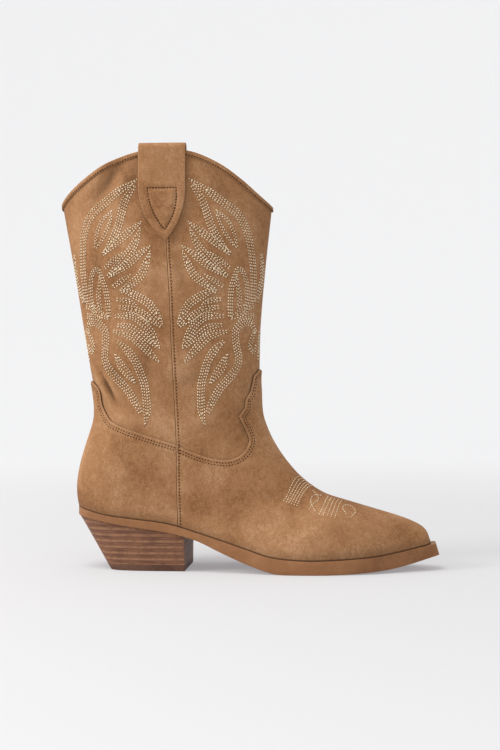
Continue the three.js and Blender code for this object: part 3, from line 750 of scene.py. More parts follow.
class Patch:
    """Cells of the form's surface, as v and angle, which can be trimmed and scored along lines."""

    SNAP = 0.12

    def __init__(self, last: Last, rows: np.ndarray, angles: np.ndarray) -> None:
        """Args:
            last: The form.
            rows: Values of v.
            angles: Angles, rising.
        """
        self.last = last
        vv, aa = np.meshgrid(rows, angles, indexing="ij")
        self.sheet = np.stack([vv.ravel(), aa.ravel()], 1)
        k = np.arange(vv.size).reshape(vv.shape)
        self.quads = np.stack([k[:-1, :-1], k[1:, :-1], k[1:, 1:], k[:-1, 1:]], -1).reshape(-1, 4)
        self.others: list[list[int]] = []

    def slid(self, field: Field, level: float, sheet: np.ndarray) -> np.ndarray:
        """Places moved by the shortest way on to field = level."""
        step = 1e-4
        here = self.last.base(sheet[:, 0], sheet[:, 1])
        value = field(sheet) - level
        slopes, lengths = [], []
        for move in ((-step, 0), (0, step)):
            other = sheet + move
            slopes.append((field(other) - level - value) / (move[0] + move[1]))
            moved = self.last.base(other[:, 0], other[:, 1])
            lengths.append(np.linalg.norm(moved - here, axis=1) / step)
        inverse = [s / np.maximum(n, 1e-6) ** 2 for s, n in zip(slopes, lengths)]
        total = np.maximum(slopes[0] * inverse[0] + slopes[1] * inverse[1], 1e-9)
        return sheet - np.stack([i * value / total for i in inverse], 1)

    def score(self, field: Field, levels: Sequence[float], trim: bool) -> None:
        """Cuts the cells along field = level, for each level.

        Args:
            field: Distance over the surface.
            levels: Where to cut; the first is the edge if trim is set.
            trim: Drops what is below the first level.
        """
        values = field(self.sheet)
        for number, level in enumerate(levels):
            near = (np.abs(values - level) < self.SNAP) & (np.abs(values - level) > 1e-9)
            used = np.zeros(len(values), bool)
            used[self.quads.ravel()] = True
            near &= used
            if near.any():
                self.sheet[near] = self.slid(field, level, self.sheet[near])
                values[near] = level
            side = np.sign(values - level)
            corner = side[self.quads]
            high, low = (corner > 0).any(1), (corner < 0).any(1)
            drop = trim and number == 0
            polygons = self.quads[high & low].tolist() + self.others
            self.quads = self.quads[high & ~low] if drop else self.quads[~(high & low)]
            fresh: dict[tuple[int, int], int] = {}
            kept: list[list[int]] = []
            total = len(self.sheet)
            for polygon in polygons:
                signs = [side[i] for i in polygon]
                if min(signs) >= 0:
                    if max(signs) > 0 or not drop:
                        kept.append(polygon)
                    continue
                if max(signs) <= 0:
                    if not drop:
                        kept.append(polygon)
                    continue
                up, down = [], []
                for i, here in enumerate(polygon):
                    after = polygon[(i + 1) % len(polygon)]
                    if side[here] >= 0:
                        up.append(here)
                    if side[here] <= 0:
                        down.append(here)
                    if side[here] * side[after] < 0:
                        key = (min(here, after), max(here, after))
                        spot = fresh.setdefault(key, total + len(fresh))
                        up.append(spot)
                        down.append(spot)
                kept += [part for part in ((up,) if drop else (up, down)) if len(part) > 2]
            self.others = kept
            if fresh:
                ends = np.array(list(fresh))
                a, b = self.sheet[ends[:, 0]].copy(), self.sheet[ends[:, 1]].copy()
                fa, fb = values[ends[:, 0]] - level, values[ends[:, 1]] - level
                for _ in range(3):
                    middle = a + (b - a) * (fa / (fa - fb))[:, None]
                    fm = field(middle) - level
                    same = np.sign(fm) == np.sign(fa)
                    a[same], fa[same] = middle[same], fm[same]
                    b[~same], fb[~same] = middle[~same], fm[~same]
                    flat = np.abs(fa - fb) < 1e-12
                    fb[flat] = fa[flat] - 1e-9
                self.sheet = np.vstack([self.sheet, middle])
                values = np.concatenate([values, np.full(len(middle), level)])

    def faces(self) -> list[tuple[int, ...]]:
        """Every cell that is left."""
        return [tuple(q) for q in self.quads.tolist()] + [tuple(p) for p in self.others]

    def row(self, field: Field, level: float) -> list[np.ndarray]:
        """Lines along field = level over the cells that are left, as places.

        Args:
            field: Distance over the surface, already scored at the level.
            level: Which line.

        Returns:
            The lines' v and angle, one array each.
        """
        on = np.abs(field(self.sheet) - level) < 0.03
        links: dict[int, set[int]] = {}
        for face in self.faces():
            for i, here in enumerate(face):
                after = face[(i + 1) % len(face)]
                if on[here] and on[after]:
                    links.setdefault(here, set()).add(after)
                    links.setdefault(after, set()).add(here)
        lines = []
        while links:
            ends = [n for n, near in links.items() if len(near) == 1]
            here = ends[0] if ends else next(iter(links))
            chain = [here]
            while True:
                near = links.pop(here, set())
                ahead = [n for n in near if n in links]
                for n in near:
                    if n in links:
                        links[n].discard(here)
                if not ahead:
                    break
                here = ahead[0]
                chain.append(here)
            if len(chain) > 3:
                lines.append(self.sheet[chain])
        return lines

    def wall(self, inner: float, outer: float, drop: np.ndarray, edge: np.ndarray | None = None) -> Shape:
        """The cells as a wall of leather.

        Args:
            inner: Offset of its inner face.
            outer: Offset of its outer face.
            drop: How far each place of the outer face lies under that.
            edge: Distance of each place from a cut edge.

        Returns:
            The closed shape.
        """
        faces = self.faces()
        used, flat = np.unique(np.concatenate([np.array(f) for f in faces]), return_inverse=True)
        sheet, drop = self.sheet[used], drop[used]
        count = len(used)
        place = 0
        outside = []
        for face in faces:
            outside.append(tuple(int(i) for i in flat[place : place + len(face)]))
            place += len(face)
        pairs = np.array([(f[i], f[(i + 1) % len(f)]) for f in outside for i in range(len(f))])
        code, back = pairs[:, 0] * count + pairs[:, 1], pairs[:, 1] * count + pairs[:, 0]
        border = pairs[~np.isin(code, back)]
        points = np.vstack([self.last.on(sheet, outer - drop)[0], self.last.on(sheet, inner)[0]])
        inside = [tuple(i + count for i in face[::-1]) for face in outside]
        rim = [(b, a, a + count, b + count) for a, b in border.tolist()]
        reach = None if edge is None else np.concatenate([edge[used], edge[used]])
        return Shape(points, outside + inside + rim, reach)


def outward(shape: Shape) -> Shape:
    """The shape with its faces turned outwards."""
    volume = 0.0
    for face in shape.faces:
        a = shape.points[face[0]]
        for i in range(1, len(face) - 1):
            volume += float(np.dot(a, np.cross(shape.points[face[i]], shape.points[face[i + 1]])))
    if volume < 0:
        shape.faces = [tuple(face[::-1]) for face in shape.faces]
    return shape


# ---------------------------------------------------------------- finishes


def linear(red: float, green: float, blue: float) -> tuple[float, float, float, float]:
    """A display colour, each part from 0 to 255, as scene-linear values."""
    parts = [c / 255 for c in (red, green, blue)]
    r, g, b = (c / 12.92 if c <= 0.04045 else ((c + 0.055) / 1.055) ** 2.4 for c in parts)
    return (r, g, b, 1.0)


class Graph:
    """Places and joins the nodes of one material or node group."""

    def __init__(self, tree: bpy.types.NodeTree) -> None:
        """Args:
            tree: The tree to work in.
        """
        self.tree = tree

    def node(self, kind: str, values: dict | None = None, **settings: object) -> bpy.types.Node:
        """Adds a node.

        Args:
            kind: Its type.
            values: For its input sockets, by name or number: a value, or a socket to link.
            settings: Its own properties.

        Returns:
            The node.
        """
        node = self.tree.nodes.new(kind)
        for key, value in settings.items():
            setattr(node, key, value)
        self.fill(node, values or {})
        return node

    def fill(self, node: bpy.types.Node, values: dict) -> None:
        """Sets a node's input sockets, or links those whose value is a socket."""
        for key, value in values.items():
            if isinstance(value, bpy.types.NodeSocket):
                self.tree.links.new(value, node.inputs[key])
            else:
                node.inputs[key].default_value = value

    def math(self, operation: str, a: object, b: object = 0.0) -> bpy.types.NodeSocket:
        """Result of a sum."""
        return self.node("ShaderNodeMath", {0: a, 1: b}, operation=operation).outputs[0]

    def blend(self, a: object, share_a: float, b: object, share_b: float) -> bpy.types.NodeSocket:
        """Two values added, each with its share."""
        return self.math("ADD", self.math("MULTIPLY", a, share_a), self.math("MULTIPLY", b, share_b))

    def span(
        self, value: object, low: float, high: float, to_low: float = 0.0, to_high: float = 1.0
    ) -> bpy.types.NodeSocket:
        """A value carried smoothly from one range to another."""
        values = {"Value": value, "From Min": low, "From Max": high, "To Min": to_low, "To Max": to_high}
        return self.node("ShaderNodeMapRange", values, interpolation_type="SMOOTHSTEP").outputs[0]

    def noise(
        self, vector: object, scale: object, detail: float = 3.0, roughness: float = 0.55
    ) -> bpy.types.NodeSocket:
        """Noise from 0 to 1."""
        values = {"Vector": vector, "Scale": scale, "Detail": detail, "Roughness": roughness}
        return self.node("ShaderNodeTexNoise", values).outputs[0]

    def mix(self, factor: object, a: object, b: object) -> bpy.types.NodeSocket:
        """A colour between two."""
        return self.node("ShaderNodeMix", {0: factor, 6: a, 7: b}, data_type="RGBA").outputs[2]

    def object_place(self) -> bpy.types.NodeSocket:
        """Places in metres, in the frame's axes."""
        return self.node("ShaderNodeTexCoord").outputs["Object"]

    def bump(self, height: object, strength: float, distance: float) -> bpy.types.NodeSocket:
        """Normals of a surface with a height, which is at most distance in metres."""
        values = {"Height": height, "Strength": strength, "Distance": distance}
        return self.node("ShaderNodeBump", values).outputs[0]

    def stretched(self, vector: object, scale: tuple[float, float, float]) -> bpy.types.NodeSocket:
        """Coordinates scaled along each axis."""
        return self.node("ShaderNodeMapping", {"Vector": vector, "Scale": scale}).outputs[0]


def group_sockets(group: bpy.types.NodeTree, inputs: dict[str, object], outputs: dict[str, str]) -> None:
    """Gives a node group its named sockets.

    Args:
        group: The group.
        inputs: Default value of each input; a tuple of four is a colour, of three a vector.
        outputs: Socket type of each output.
    """
    for name, value in inputs.items():
        wide = len(value) if isinstance(value, tuple) else 1
        kind = {1: "NodeSocketFloat", 3: "NodeSocketVector", 4: "NodeSocketColor"}[wide]
        group.interface.new_socket(name, in_out="INPUT", socket_type=kind).default_value = value
    for name, kind in outputs.items():
        group.interface.new_socket(name, in_out="OUTPUT", socket_type=kind)


class Effects:
    """Shader node groups that the finishes share."""

    def __init__(self) -> None:
        """Builds each group once."""
        self.mottle = self.build_mottle()
        self.worn = self.build_worn()

    @staticmethod
    def build_mottle() -> bpy.types.NodeTree:
        """Three tones in soft patches, clouds and specks, and a height for fibres or grain."""
        group = bpy.data.node_groups.new("mottle", "ShaderNodeTree")
        grey = (0.5, 0.5, 0.5, 1.0)
        inputs = {
            "Vector": (0.0, 0.0, 0.0), "Patches": 30.0, "Clouds": 130.0, "Specks": 900.0,
            "Speck Strength": 0.3, "Dark": grey, "Middle": grey, "Light": grey,
        }
        outputs = {"Color": "NodeSocketColor", "Height": "NodeSocketFloat", "Tone": "NodeSocketFloat"}
        group_sockets(group, inputs, outputs)
        g = Graph(group)
        put = g.node("NodeGroupInput").outputs
        patches = g.noise(put["Vector"], put["Patches"], 2.0, 0.5)
        clouds = g.noise(put["Vector"], put["Clouds"], 4.0, 0.6)
        specks = g.noise(put["Vector"], put["Specks"], 3.0, 0.7)
        tone = g.blend(patches, 0.65, clouds, 0.35)
        rough = g.math("MULTIPLY", g.math("SUBTRACT", specks, 0.5), put["Speck Strength"])
        tone = g.math("ADD", tone, rough)
        low = g.mix(g.span(tone, 0.33, 0.5), put["Dark"], put["Middle"])
        colour = g.mix(g.span(tone, 0.5, 0.68), low, put["Light"])
        brushed = g.noise(g.stretched(put["Vector"], (1.0, 1.0, 2.4)), put["Patches"], 3.0)
        colour = g.mix(g.span(brushed, 0.56, 0.76, 0.0, 0.45), colour, put["Light"])
        height = g.blend(specks, 0.7, clouds, 0.5)
        g.node("NodeGroupOutput", {"Color": colour, "Height": height, "Tone": tone})
        return group

    @staticmethod
    def build_worn() -> bpy.types.NodeTree:
        """A lighter tone close to a cut edge, partly the raw edge's own tone and partly a painted highlight on
        the raised edge, broken up so that it isn't an even line; over it a dark raw edge line that is partly a
        painted shadow in the gap, painted shade along the sole and in creases, and a painted highlight on
        rolls.
        """
        group = bpy.data.node_groups.new("edge_tone_and_painted_light", "ShaderNodeTree")
        inputs = {
            "Vector": (0.0, 0.0, 0.0), "Distance": FAR, "Seat": FAR, "Hollow": 0.0, "Reach": 1.0,
            "Color": (0.5,) * 4, "Edge": (0.8,) * 4, "Raw": (0.3,) * 4,
        }
        group_sockets(group, inputs, {"Color": "NodeSocketColor"})
        g = Graph(group)
        put = g.node("NodeGroupInput").outputs
        ragged = g.math("ADD", put["Distance"], g.math("MULTIPLY", g.noise(put["Vector"], 500.0), 0.5))
        near = g.math("DIVIDE", ragged, put["Reach"])
        # Lighter edge tone, partly a painted highlight on the raised edge.
        worn = g.mix(g.span(near, 0.25, 1.25, 1.0, 0.0), put["Color"], put["Edge"])
        # Each row: what drives the tone, the range it works over in mm, its strength at both ends, and the
        # tone it mixes in.
        for source, low, high, start, end, tone in (
            # Dark raw edge line, partly a painted shadow in the gap at seams and edges.
            ("Distance", 0.02, 0.36, 1.0, 0.0, "Raw"),
            # Painted shade where the upper meets the sole, then soft painted shade fading upwards.
            ("Seat", 0.3, 1.5, 1.0, 0.0, "Raw"),
            ("Seat", 1.0, 9.0, 0.3, 0.0, "Raw"),
            # Painted shade in creases.
            ("Hollow", 0.1, 2.2, 0.0, 0.75, "Raw"),
            # Painted highlight on rolls.
            ("Hollow", -1.6, 0.0, 0.5, 0.0, "Edge"),
        ):
            worn = g.mix(g.span(put[source], low, high, start, end), worn, put[tone])
        g.node("NodeGroupOutput", {"Color": worn})
        return group

    @staticmethod
    def start(name: str) -> tuple[bpy.types.Material, Graph, bpy.types.Node]:
        """An empty material, its graph and its Principled shader."""
        finish = bpy.data.materials.new(name)
        finish.use_nodes = True
        shader = finish.node_tree.nodes["Principled BSDF"]
        return finish, Graph(finish.node_tree), shader


@dataclass(frozen=True)
class Leather:
    """A leather or a fibre sheet in three tones.

    Attributes:
        name: Of the material.
        dark, middle, light: Its tones, as display colours.
        edge: Tone of its cut edges, partly a painted highlight on the raised edge; also the painted highlight
            on rolls.
        patches, clouds, specks: How many fit in a metre.
        speck_strength: How strong the specks are in the tone.
        bump: Height of its nap or grain, in metres.
        roughness: Of its surface.
        sheen: How much its nap catches light.
        reach: How far a cut edge's tone spreads; 0 for none, which also leaves out the painted shade and
            highlight.
        drag: How far apart the marks lie upwards, as a share of along the boot.
    """

    RAW: ClassVar[float] = 0.66  # tone of a raw edge, partly a painted shadow line in the gap, and of the painted shade along the sole and in creases, as a share of the dark tone

    name: str
    dark: tuple[float, float, float]
    middle: tuple[float, float, float]
    light: tuple[float, float, float]
    edge: tuple[float, float, float]
    patches: float = 26.0
    clouds: float = 110.0
    specks: float = 900.0
    speck_strength: float = 0.35
    bump: float = 0.00025
    roughness: float = 0.95
    sheen: float = 0.25
    reach: float = 0.9
    drag: float = 1.0

    def build(self, effects: Effects) -> bpy.types.Material:
        """The material."""
        finish, g, shader = effects.start(self.name)
        place = g.stretched(g.object_place(), (1.0, 1.0, self.drag))
        mottle = g.node("ShaderNodeGroup", {
            "Vector": place, "Patches": self.patches, "Clouds": self.clouds, "Specks": self.specks,
            "Speck Strength": self.speck_strength, "Dark": linear(*self.dark),
            "Middle": linear(*self.middle), "Light": linear(*self.light),
        }, node_tree=effects.mottle)
        colour = mottle.outputs["Color"]
        # Edge tone with painted light: a painted shadow line at cut edges, painted shade along the sole and in
        # creases, and a painted highlight on rolls.
        if self.reach:
            values = {
                "Vector": place, "Color": colour, "Edge": linear(*self.edge),
                "Raw": linear(*(self.RAW * c for c in self.dark)), "Reach": self.reach,
            }
            for kind, socket in (("edge", "Distance"), ("seat", "Seat"), ("hollow", "Hollow")):
                values[socket] = g.node("ShaderNodeAttribute", attribute_name=kind).outputs["Fac"]
            colour = g.node("ShaderNodeGroup", values, node_tree=effects.worn).outputs["Color"]
        g.fill(shader, {
            "Base Color": colour,
            "Roughness": g.span(mottle.outputs["Tone"], 0.3, 0.7, self.roughness, self.roughness - 0.12),
            "Normal": g.bump(mottle.outputs["Height"], 1.0, self.bump),
            "Sheen Weight": self.sheen, "Sheen Roughness": 0.55, "Sheen Tint": linear(*self.light),
            "Specular IOR Level": 0.25,
        })
        return finish


@dataclass(frozen=True)
class Thread:
    """A sewing thread.

    Attributes:
        name: Of the material.
        dark, light: Its tones.
        roughness: Of its surface.
    """

    name: str
    dark: tuple[float, float, float]
    light: tuple[float, float, float]
    roughness: float = 0.6

    def build(self, effects: Effects) -> bpy.types.Material:
        """The material."""
        finish, g, shader = effects.start(self.name)
        place = g.object_place()
        fray = g.blend(g.noise(place, 90.0), 0.5, g.noise(place, 700.0), 0.5)
        strands = g.noise(g.stretched(place, (1.0, 1.0, 1.6)), 2600.0, 2.0)
        g.fill(shader, {
            "Base Color": g.mix(g.span(fray, 0.36, 0.6), linear(*self.dark), linear(*self.light)),
            "Normal": g.bump(strands, 0.8, 0.0001),
            "Roughness": self.roughness, "Specular IOR Level": 0.2,
        })
        return finish


@dataclass(frozen=True)
class Stacked:
    """Layers of leather seen from their edges, sanded and waxed.

    Attributes:
        name: Of the material.
        dark, light: Tones across one layer.
        line: Tone of the thin line between two layers.
        face: Tone of the bare front face.
        start, pitch: Height of the first layer and of each layer, in metres.
        front: x of the front face, in metres.
    """

    name: str
    dark: tuple[float, float, float]
    light: tuple[float, float, float]
    line: tuple[float, float, float]
    face: tuple[tuple[float, float, float], tuple[float, float, float]]
    start: float
    pitch: float
    front: float

    def build(self, effects: Effects) -> bpy.types.Material:
        """The material."""
        finish, g, shader = effects.start(self.name)
        place = g.object_place()
        split = g.node("ShaderNodeSeparateXYZ", {0: place}).outputs
        wave = g.math("MULTIPLY", g.math("SUBTRACT", g.noise(place, 60.0), 0.5), 0.0006)
        height = g.math("SUBTRACT", g.math("ADD", split[2], wave), self.start)
        across = g.math("FRACT", g.math("DIVIDE", height, self.pitch))
        streak = g.noise(g.stretched(place, (60.0, 60.0, 1500.0)), 1.0, 4.0, 0.65)
        blotch = g.noise(place, 75.0, 3.0)
        tone = g.blend(streak, 0.6, blotch, 0.4)
        wood = g.mix(g.span(tone, 0.36, 0.62), linear(*self.dark), linear(*self.light))
        bare = g.mix(g.span(tone, 0.38, 0.6), linear(*self.face[0]), linear(*self.face[1]))
        side = g.mix(g.span(split[0], self.front - 0.0012, self.front - 0.0002), wood, bare)
        gap = g.math("MINIMUM", across, g.math("SUBTRACT", 1.0, across))
        seam = g.span(gap, 0.05, 0.34, 1.0, 0.0)
        faded = g.math("MULTIPLY", seam, g.span(g.noise(place, 210.0), 0.3, 0.62, 0.35, 0.95))
        half = g.math("ABSOLUTE", g.math("SUBTRACT", across, 0.46))
        broken = g.span(g.noise(place, 90.0), 0.4, 0.62, 0.0, 0.5)
        second = g.math("MULTIPLY", g.span(half, 0.03, 0.1, 1.0, 0.0), broken)
        side = g.mix(second, side, linear(*self.line))
        relief = g.math("SUBTRACT", tone, g.math("MULTIPLY", seam, 0.8))
        g.fill(shader, {
            "Base Color": g.mix(faded, side, linear(*self.line)),
            "Roughness": g.span(tone, 0.3, 0.7, 0.5, 0.68),
            "Normal": g.bump(relief, 0.7, 0.00025),
            "Specular IOR Level": 0.35,
        })
        return finish


@dataclass(frozen=True)
class Steel:
    """Bare steel, drawn or rolled.

    Attributes:
        name: Of the material.
        tint: Its colour.
    """

    name: str
    tint: tuple[float, float, float]

    def build(self, effects: Effects) -> bpy.types.Material:
        """The material."""
        finish, g, shader = effects.start(self.name)
        drawn = g.noise(g.stretched(g.object_place(), (60.0, 900.0, 200.0)), 1.0, 3.0)
        dull = tuple(c * 0.8 for c in self.tint)
        g.fill(shader, {
            "Base Color": g.mix(drawn, linear(*dull), linear(*self.tint)),
            "Roughness": g.span(drawn, 0.3, 0.7, 0.32, 0.5),
            "Metallic": 1.0,
        })
        return finish


class Finishes:
    """Every material of the boot, by its slot's name."""

    def __init__(self, pitch: float, breast: float) -> None:
        """Args:
            pitch: Height of one heel lift, in millimetres.
            breast: x of the heel's front face, in millimetres.
        """
        effects = Effects()
        kinds: dict[str, Leather | Thread | Stacked | Steel] = {
            "suede": Leather(
                "tan_suede", (124, 84, 52), (147, 105, 69), (168, 128, 93), (176, 135, 98),
                30, 300, 1000, 0.6, 0.00035, sheen=0.15, drag=0.8,
            ),
            "lining": Leather(
                "calf_lining", (176, 138, 100), (196, 160, 122), (212, 180, 144), (220, 190, 156),
                20, 160, 1500, 0.2, 0.00008, 0.62, 0.05,
            ),
            "canvas": Leather(
                "cotton_canvas", (196, 184, 160), (214, 204, 182), (228, 220, 202), (232, 226, 210),
                20, 300, 1400, 0.5, 0.0002, 0.95, 0.2,
            ),
            "stiffener": Leather(
                "fibre_stiffener", (158, 132, 102), (180, 154, 120), (198, 174, 142), (206, 184, 152),
                30, 220, 1600, 0.4, 0.0001, 0.85, 0.05,
            ),
            "board": Leather(
                "pressed_board", (150, 116, 80), (176, 141, 102), (194, 162, 124), (200, 170, 134),
                30, 260, 1800, 0.6, 0.0001, 0.88, 0.05,
            ),
            "cork": Leather(
                "ground_cork", (110, 74, 44), (184, 138, 92), (206, 164, 116), (200, 160, 116),
                60, 420, 900, 0.8, 0.0003, 0.92, 0.05, 0.0,
            ),
            "sole": Leather(
                "dyed_sole_leather", (124, 82, 50), (138, 94, 59), (149, 104, 68), (148, 104, 68),
                35, 190, 1300, 0.45, 0.00012, 0.62, 0.05, 0.6,
            ),
            "rubber": Leather(
                "toplift_rubber", (76, 50, 38), (92, 62, 47), (108, 76, 60), (112, 80, 64),
                40, 300, 2000, 0.3, 0.00008, 0.66, 0.0, 0.5,
            ),
            "stack": Stacked(
                "stacked_leather", (88, 54, 37), (118, 76, 52), (148, 105, 75),
                ((92, 72, 64), (136, 110, 98)), TOPLIFT * MM, pitch * MM, breast * MM,
            ),
            "steel": Steel("plain_steel", (176, 178, 182)),
            "thread_light": Thread("cream_thread", (196, 170, 134), (230, 211, 182)),
            "thread_dark": Thread("brown_thread", (54, 30, 14), (78, 46, 24), 0.85),
        }
        self.made = {slot: kind.build(effects) for slot, kind in kinds.items()}

    def __getitem__(self, slot: str) -> bpy.types.Material:
        """The material of a slot."""
        return self.made[slot]


# ---------------------------------------------------------------- stitching


@dataclass(frozen=True)
class Stitch:
    """One kind of stitch, in millimetres.

    Attributes:
        pitch: From one stitch to the next.
        length: Of the thread that shows.
        width: Across it.
        height: Through it, half of which is sunk in the leather.
        jitter: Degrees it may lie askew.
        shift: How far along the row it is moved.
    """

    pitch: float
    length: float
    width: float
    height: float
    jitter: float
    shift: float = 0.0


class Sewing(Enum):
    """The boot's stitches."""

    EMBROIDERY = Stitch(2.3, 1.6, 1.0, 0.8, 9.0)
    # Dark dots between the embroidery's stitches: painted shade in the needle holes.
    HOLE_SHADE = Stitch(2.3, 0.62, 0.8, 0.4, 3.0, 1.15)
    FINE = Stitch(2.1, 1.6, 0.78, 0.6, 5.0)
    SEAM = Stitch(2.5, 1.6, 1.3, 0.6, 3.0)
    EDGE = Stitch(2.3, 1.4, 1.3, 0.6, 4.0)
    BINDING = Stitch(2.2, 1.8, 1.25, 0.65, 3.0)


class SewingMachine:
    """Lays stitches along rows with one Geometry Nodes tree."""

    INPUTS = dict.fromkeys(("Pitch", "Length", "Width", "Height", "Shift", "Jitter"), "NodeSocketFloat") | {
        "Seed": "NodeSocketInt", "Thread": "NodeSocketMaterial",
    }
    SMALLEST, LARGEST = 0.88, 1.08  # how far the stitches vary in size

    def __init__(self) -> None:
        """Builds the tree."""
        self.tree = bpy.data.node_groups.new("stitch_rows", "GeometryNodeTree")
        face = self.tree.interface
        face.new_socket("Rows", in_out="INPUT", socket_type="NodeSocketGeometry")
        for name, kind in self.INPUTS.items():
            face.new_socket(name, in_out="INPUT", socket_type=kind)
        face.new_socket("Stitches", in_out="OUTPUT", socket_type="NodeSocketGeometry")
        g = Graph(self.tree)
        put = g.node("NodeGroupInput").outputs
        curves = g.node("GeometryNodeMeshToCurve", {"Mesh": put["Rows"]}).outputs[0]
        holes = g.node("GeometryNodeCurveToPoints", {"Curve": curves, "Length": put["Pitch"]}, mode="LENGTH")
        lie = g.node("GeometryNodeInputNamedAttribute", {"Name": "lie"}, data_type="FLOAT_VECTOR").outputs[0]
        along = g.node("FunctionNodeAlignRotationToVector", {"Vector": holes.outputs["Tangent"]}, axis="X")
        flat = g.node(
            "FunctionNodeAlignRotationToVector", {"Rotation": along.outputs[0], "Vector": lie},
            axis="Z", pivot_axis="X",
        )
        half = g.math("MULTIPLY", put["Jitter"], math.radians(1.0))
        least = g.math("MULTIPLY", half, -1.0)
        askew = g.node(
            "FunctionNodeRandomValue", {2: least, 3: half, "Seed": put["Seed"]}, data_type="FLOAT",
        ).outputs[1]
        euler = g.node("ShaderNodeCombineXYZ", {2: askew}).outputs[0]
        spin = g.node("FunctionNodeEulerToRotation", {0: euler})
        turned = g.node(
            "FunctionNodeRotateRotation", {0: flat.outputs[0], 1: spin.outputs[0]}, rotation_space="LOCAL",
        )
        size = g.node(
            "FunctionNodeRandomValue", {2: self.SMALLEST, 3: self.LARGEST, "Seed": put["Seed"]},
            data_type="FLOAT",
        ).outputs[1]
        thread = g.node("GeometryNodeMeshUVSphere", {"Segments": 6, "Rings": 4, "Radius": 0.5}).outputs[0]
        wide = g.node("ShaderNodeCombineXYZ", {0: put["Length"], 1: put["Width"], 2: put["Height"]}).outputs[0]
        ahead = g.node("ShaderNodeCombineXYZ", {0: put["Shift"]}).outputs[0]
        moved = {"Geometry": thread, "Translation": ahead, "Scale": wide}
        thread = g.node("GeometryNodeTransform", moved).outputs[0]
        thread = g.node("GeometryNodeSetShadeSmooth", {"Geometry": thread}).outputs[0]
        laid = g.node(
            "GeometryNodeInstanceOnPoints",
            {"Points": holes.outputs["Points"], "Instance": thread, "Rotation": turned.outputs[0],
             "Scale": size},
        ).outputs[0]
        real = g.node("GeometryNodeRealizeInstances", {"Geometry": laid}).outputs[0]
        done = g.node("GeometryNodeSetMaterial", {"Geometry": real, "Material": put["Thread"]}).outputs[0]
        g.node("NodeGroupOutput", {0: done})

    def sew(
        self, name: str, rows: Sequence[Row], kind: Sewing, thread: bpy.types.Material, seed: int
    ) -> bpy.types.Object:
        """Sews rows.

        Args:
            name: Of the piece.
            rows: For each row its points and the leather's normals there, in millimetres.
            kind: The stitch.
            thread: Its material.
            seed: For how the stitches vary.

        Returns:
            The stitches as one mesh.
        """
        points = np.vstack([row[0] for row in rows]) * MM
        edges, base = [], 0
        for row in rows:
            edges += [(base + i, base + i + 1) for i in range(len(row[0]) - 1)]
            base += len(row[0])
        mesh = bpy.data.meshes.new(name)
        mesh.from_pydata(points.tolist(), edges, [])
        lie = mesh.attributes.new("lie", "FLOAT_VECTOR", "POINT")
        lie.data.foreach_set("vector", np.vstack([row[1] for row in rows]).astype(np.float32).ravel())
        piece = placed(name, mesh)
        sewing = piece.modifiers.new("sewing", "NODES")
        sewing.node_group = self.tree
        sizes = {key.capitalize(): value * MM for key, value in asdict(kind.value).items()}
        values = sizes | {"Jitter": kind.value.jitter, "Seed": seed, "Thread": thread}
        for socket in self.tree.interface.items_tree:
            if socket.item_type == "SOCKET" and socket.in_out == "INPUT" and socket.name in values:
                sewing[socket.identifier] = values[socket.name]
        graph = bpy.context.evaluated_depsgraph_get()
        made = bpy.data.meshes.new_from_object(piece.evaluated_get(graph))
        piece.modifiers.clear()
        piece.data = made
        made.name = name
        return piece


class Sewn:
    """A sub-assembly that is built on the form and sewn."""

    def __init__(self, last: Last, finishes: Finishes, machine: SewingMachine) -> None:
        """Args:
            last: The form.
            finishes: The materials.
            machine: Sews its rows.
        """
        self.last, self.finishes, self.machine = last, finishes, machine

    def sew(self, name: str, rows: Sequence[Row], kind: Sewing, slot: str, seed: int) -> None:
        """Sews rows with the thread of a slot, as one piece."""
        dressed(self.machine.sew(name, rows, kind, self.finishes[slot], seed), slot)


class Quarter:
    """One quarter of the shaft laid flat: millimetres round from the side seam, and height."""

    LOW = 90.0
    STEP = 2.0

    def __init__(self, last: Last, side: int, ahead: bool) -> None:
        """Args:
            last: The form.
            side: -1 on the outer side of the foot and 1 on the inner.
            ahead: In front of the side seam.
        """
        self.side, self.ahead = side, ahead
        v = np.linspace(0, 0.42, 240)
        self.angles = np.linspace(0.001, np.pi - 0.001, 361)
        heights = np.arange(self.LOW, 334, self.STEP)
        vv, aa = np.meshgrid(v, self.angles, indexing="ij")
        z = last.base(vv, aa)[..., 2]
        self.v = np.stack([np.interp(heights, z[::-1, j], v[::-1]) for j in range(len(self.angles))], 1)
        points = last.base(self.v, np.broadcast_to(self.angles, self.v.shape))
        run = np.linalg.norm(np.diff(points, axis=1), axis=2)
        self.run = np.concatenate([np.zeros((len(heights), 1)), np.cumsum(run, 1)], 1)
        seam = last.lines["seam"].line
        seam_x = np.interp(heights, seam[:, 1], seam[:, 0])
        self.seam = np.array([
            np.interp(-seam_x[i], -points[i, :, 0], self.run[i]) for i in range(len(heights))
        ])

    def places(self, flat: np.ndarray) -> np.ndarray:
        """Places on the form for points of the flat panel.

        Args:
            flat: Distance from the seam and height, one row each.

        Returns:
            v and angle, one row each.
        """
        found = np.zeros((len(flat), 2))
        for n, (round_by, height) in enumerate(flat):
            at = min(max((height - self.LOW) / self.STEP, 0), len(self.v) - 2)
            i = int(at)
            both = []
            for row in (i, i + 1):
                reach = self.seam[row] - round_by if self.ahead else self.seam[row] + round_by
                angle = np.interp(reach, self.run[row], self.angles)
                both.append((np.interp(angle, self.angles, self.v[row]), angle))
            found[n] = np.array(both[0]) + (np.array(both[1]) - both[0]) * (at - i)
        found[:, 1] *= self.side
        return found


# ---------------------------------------------------------------- upper


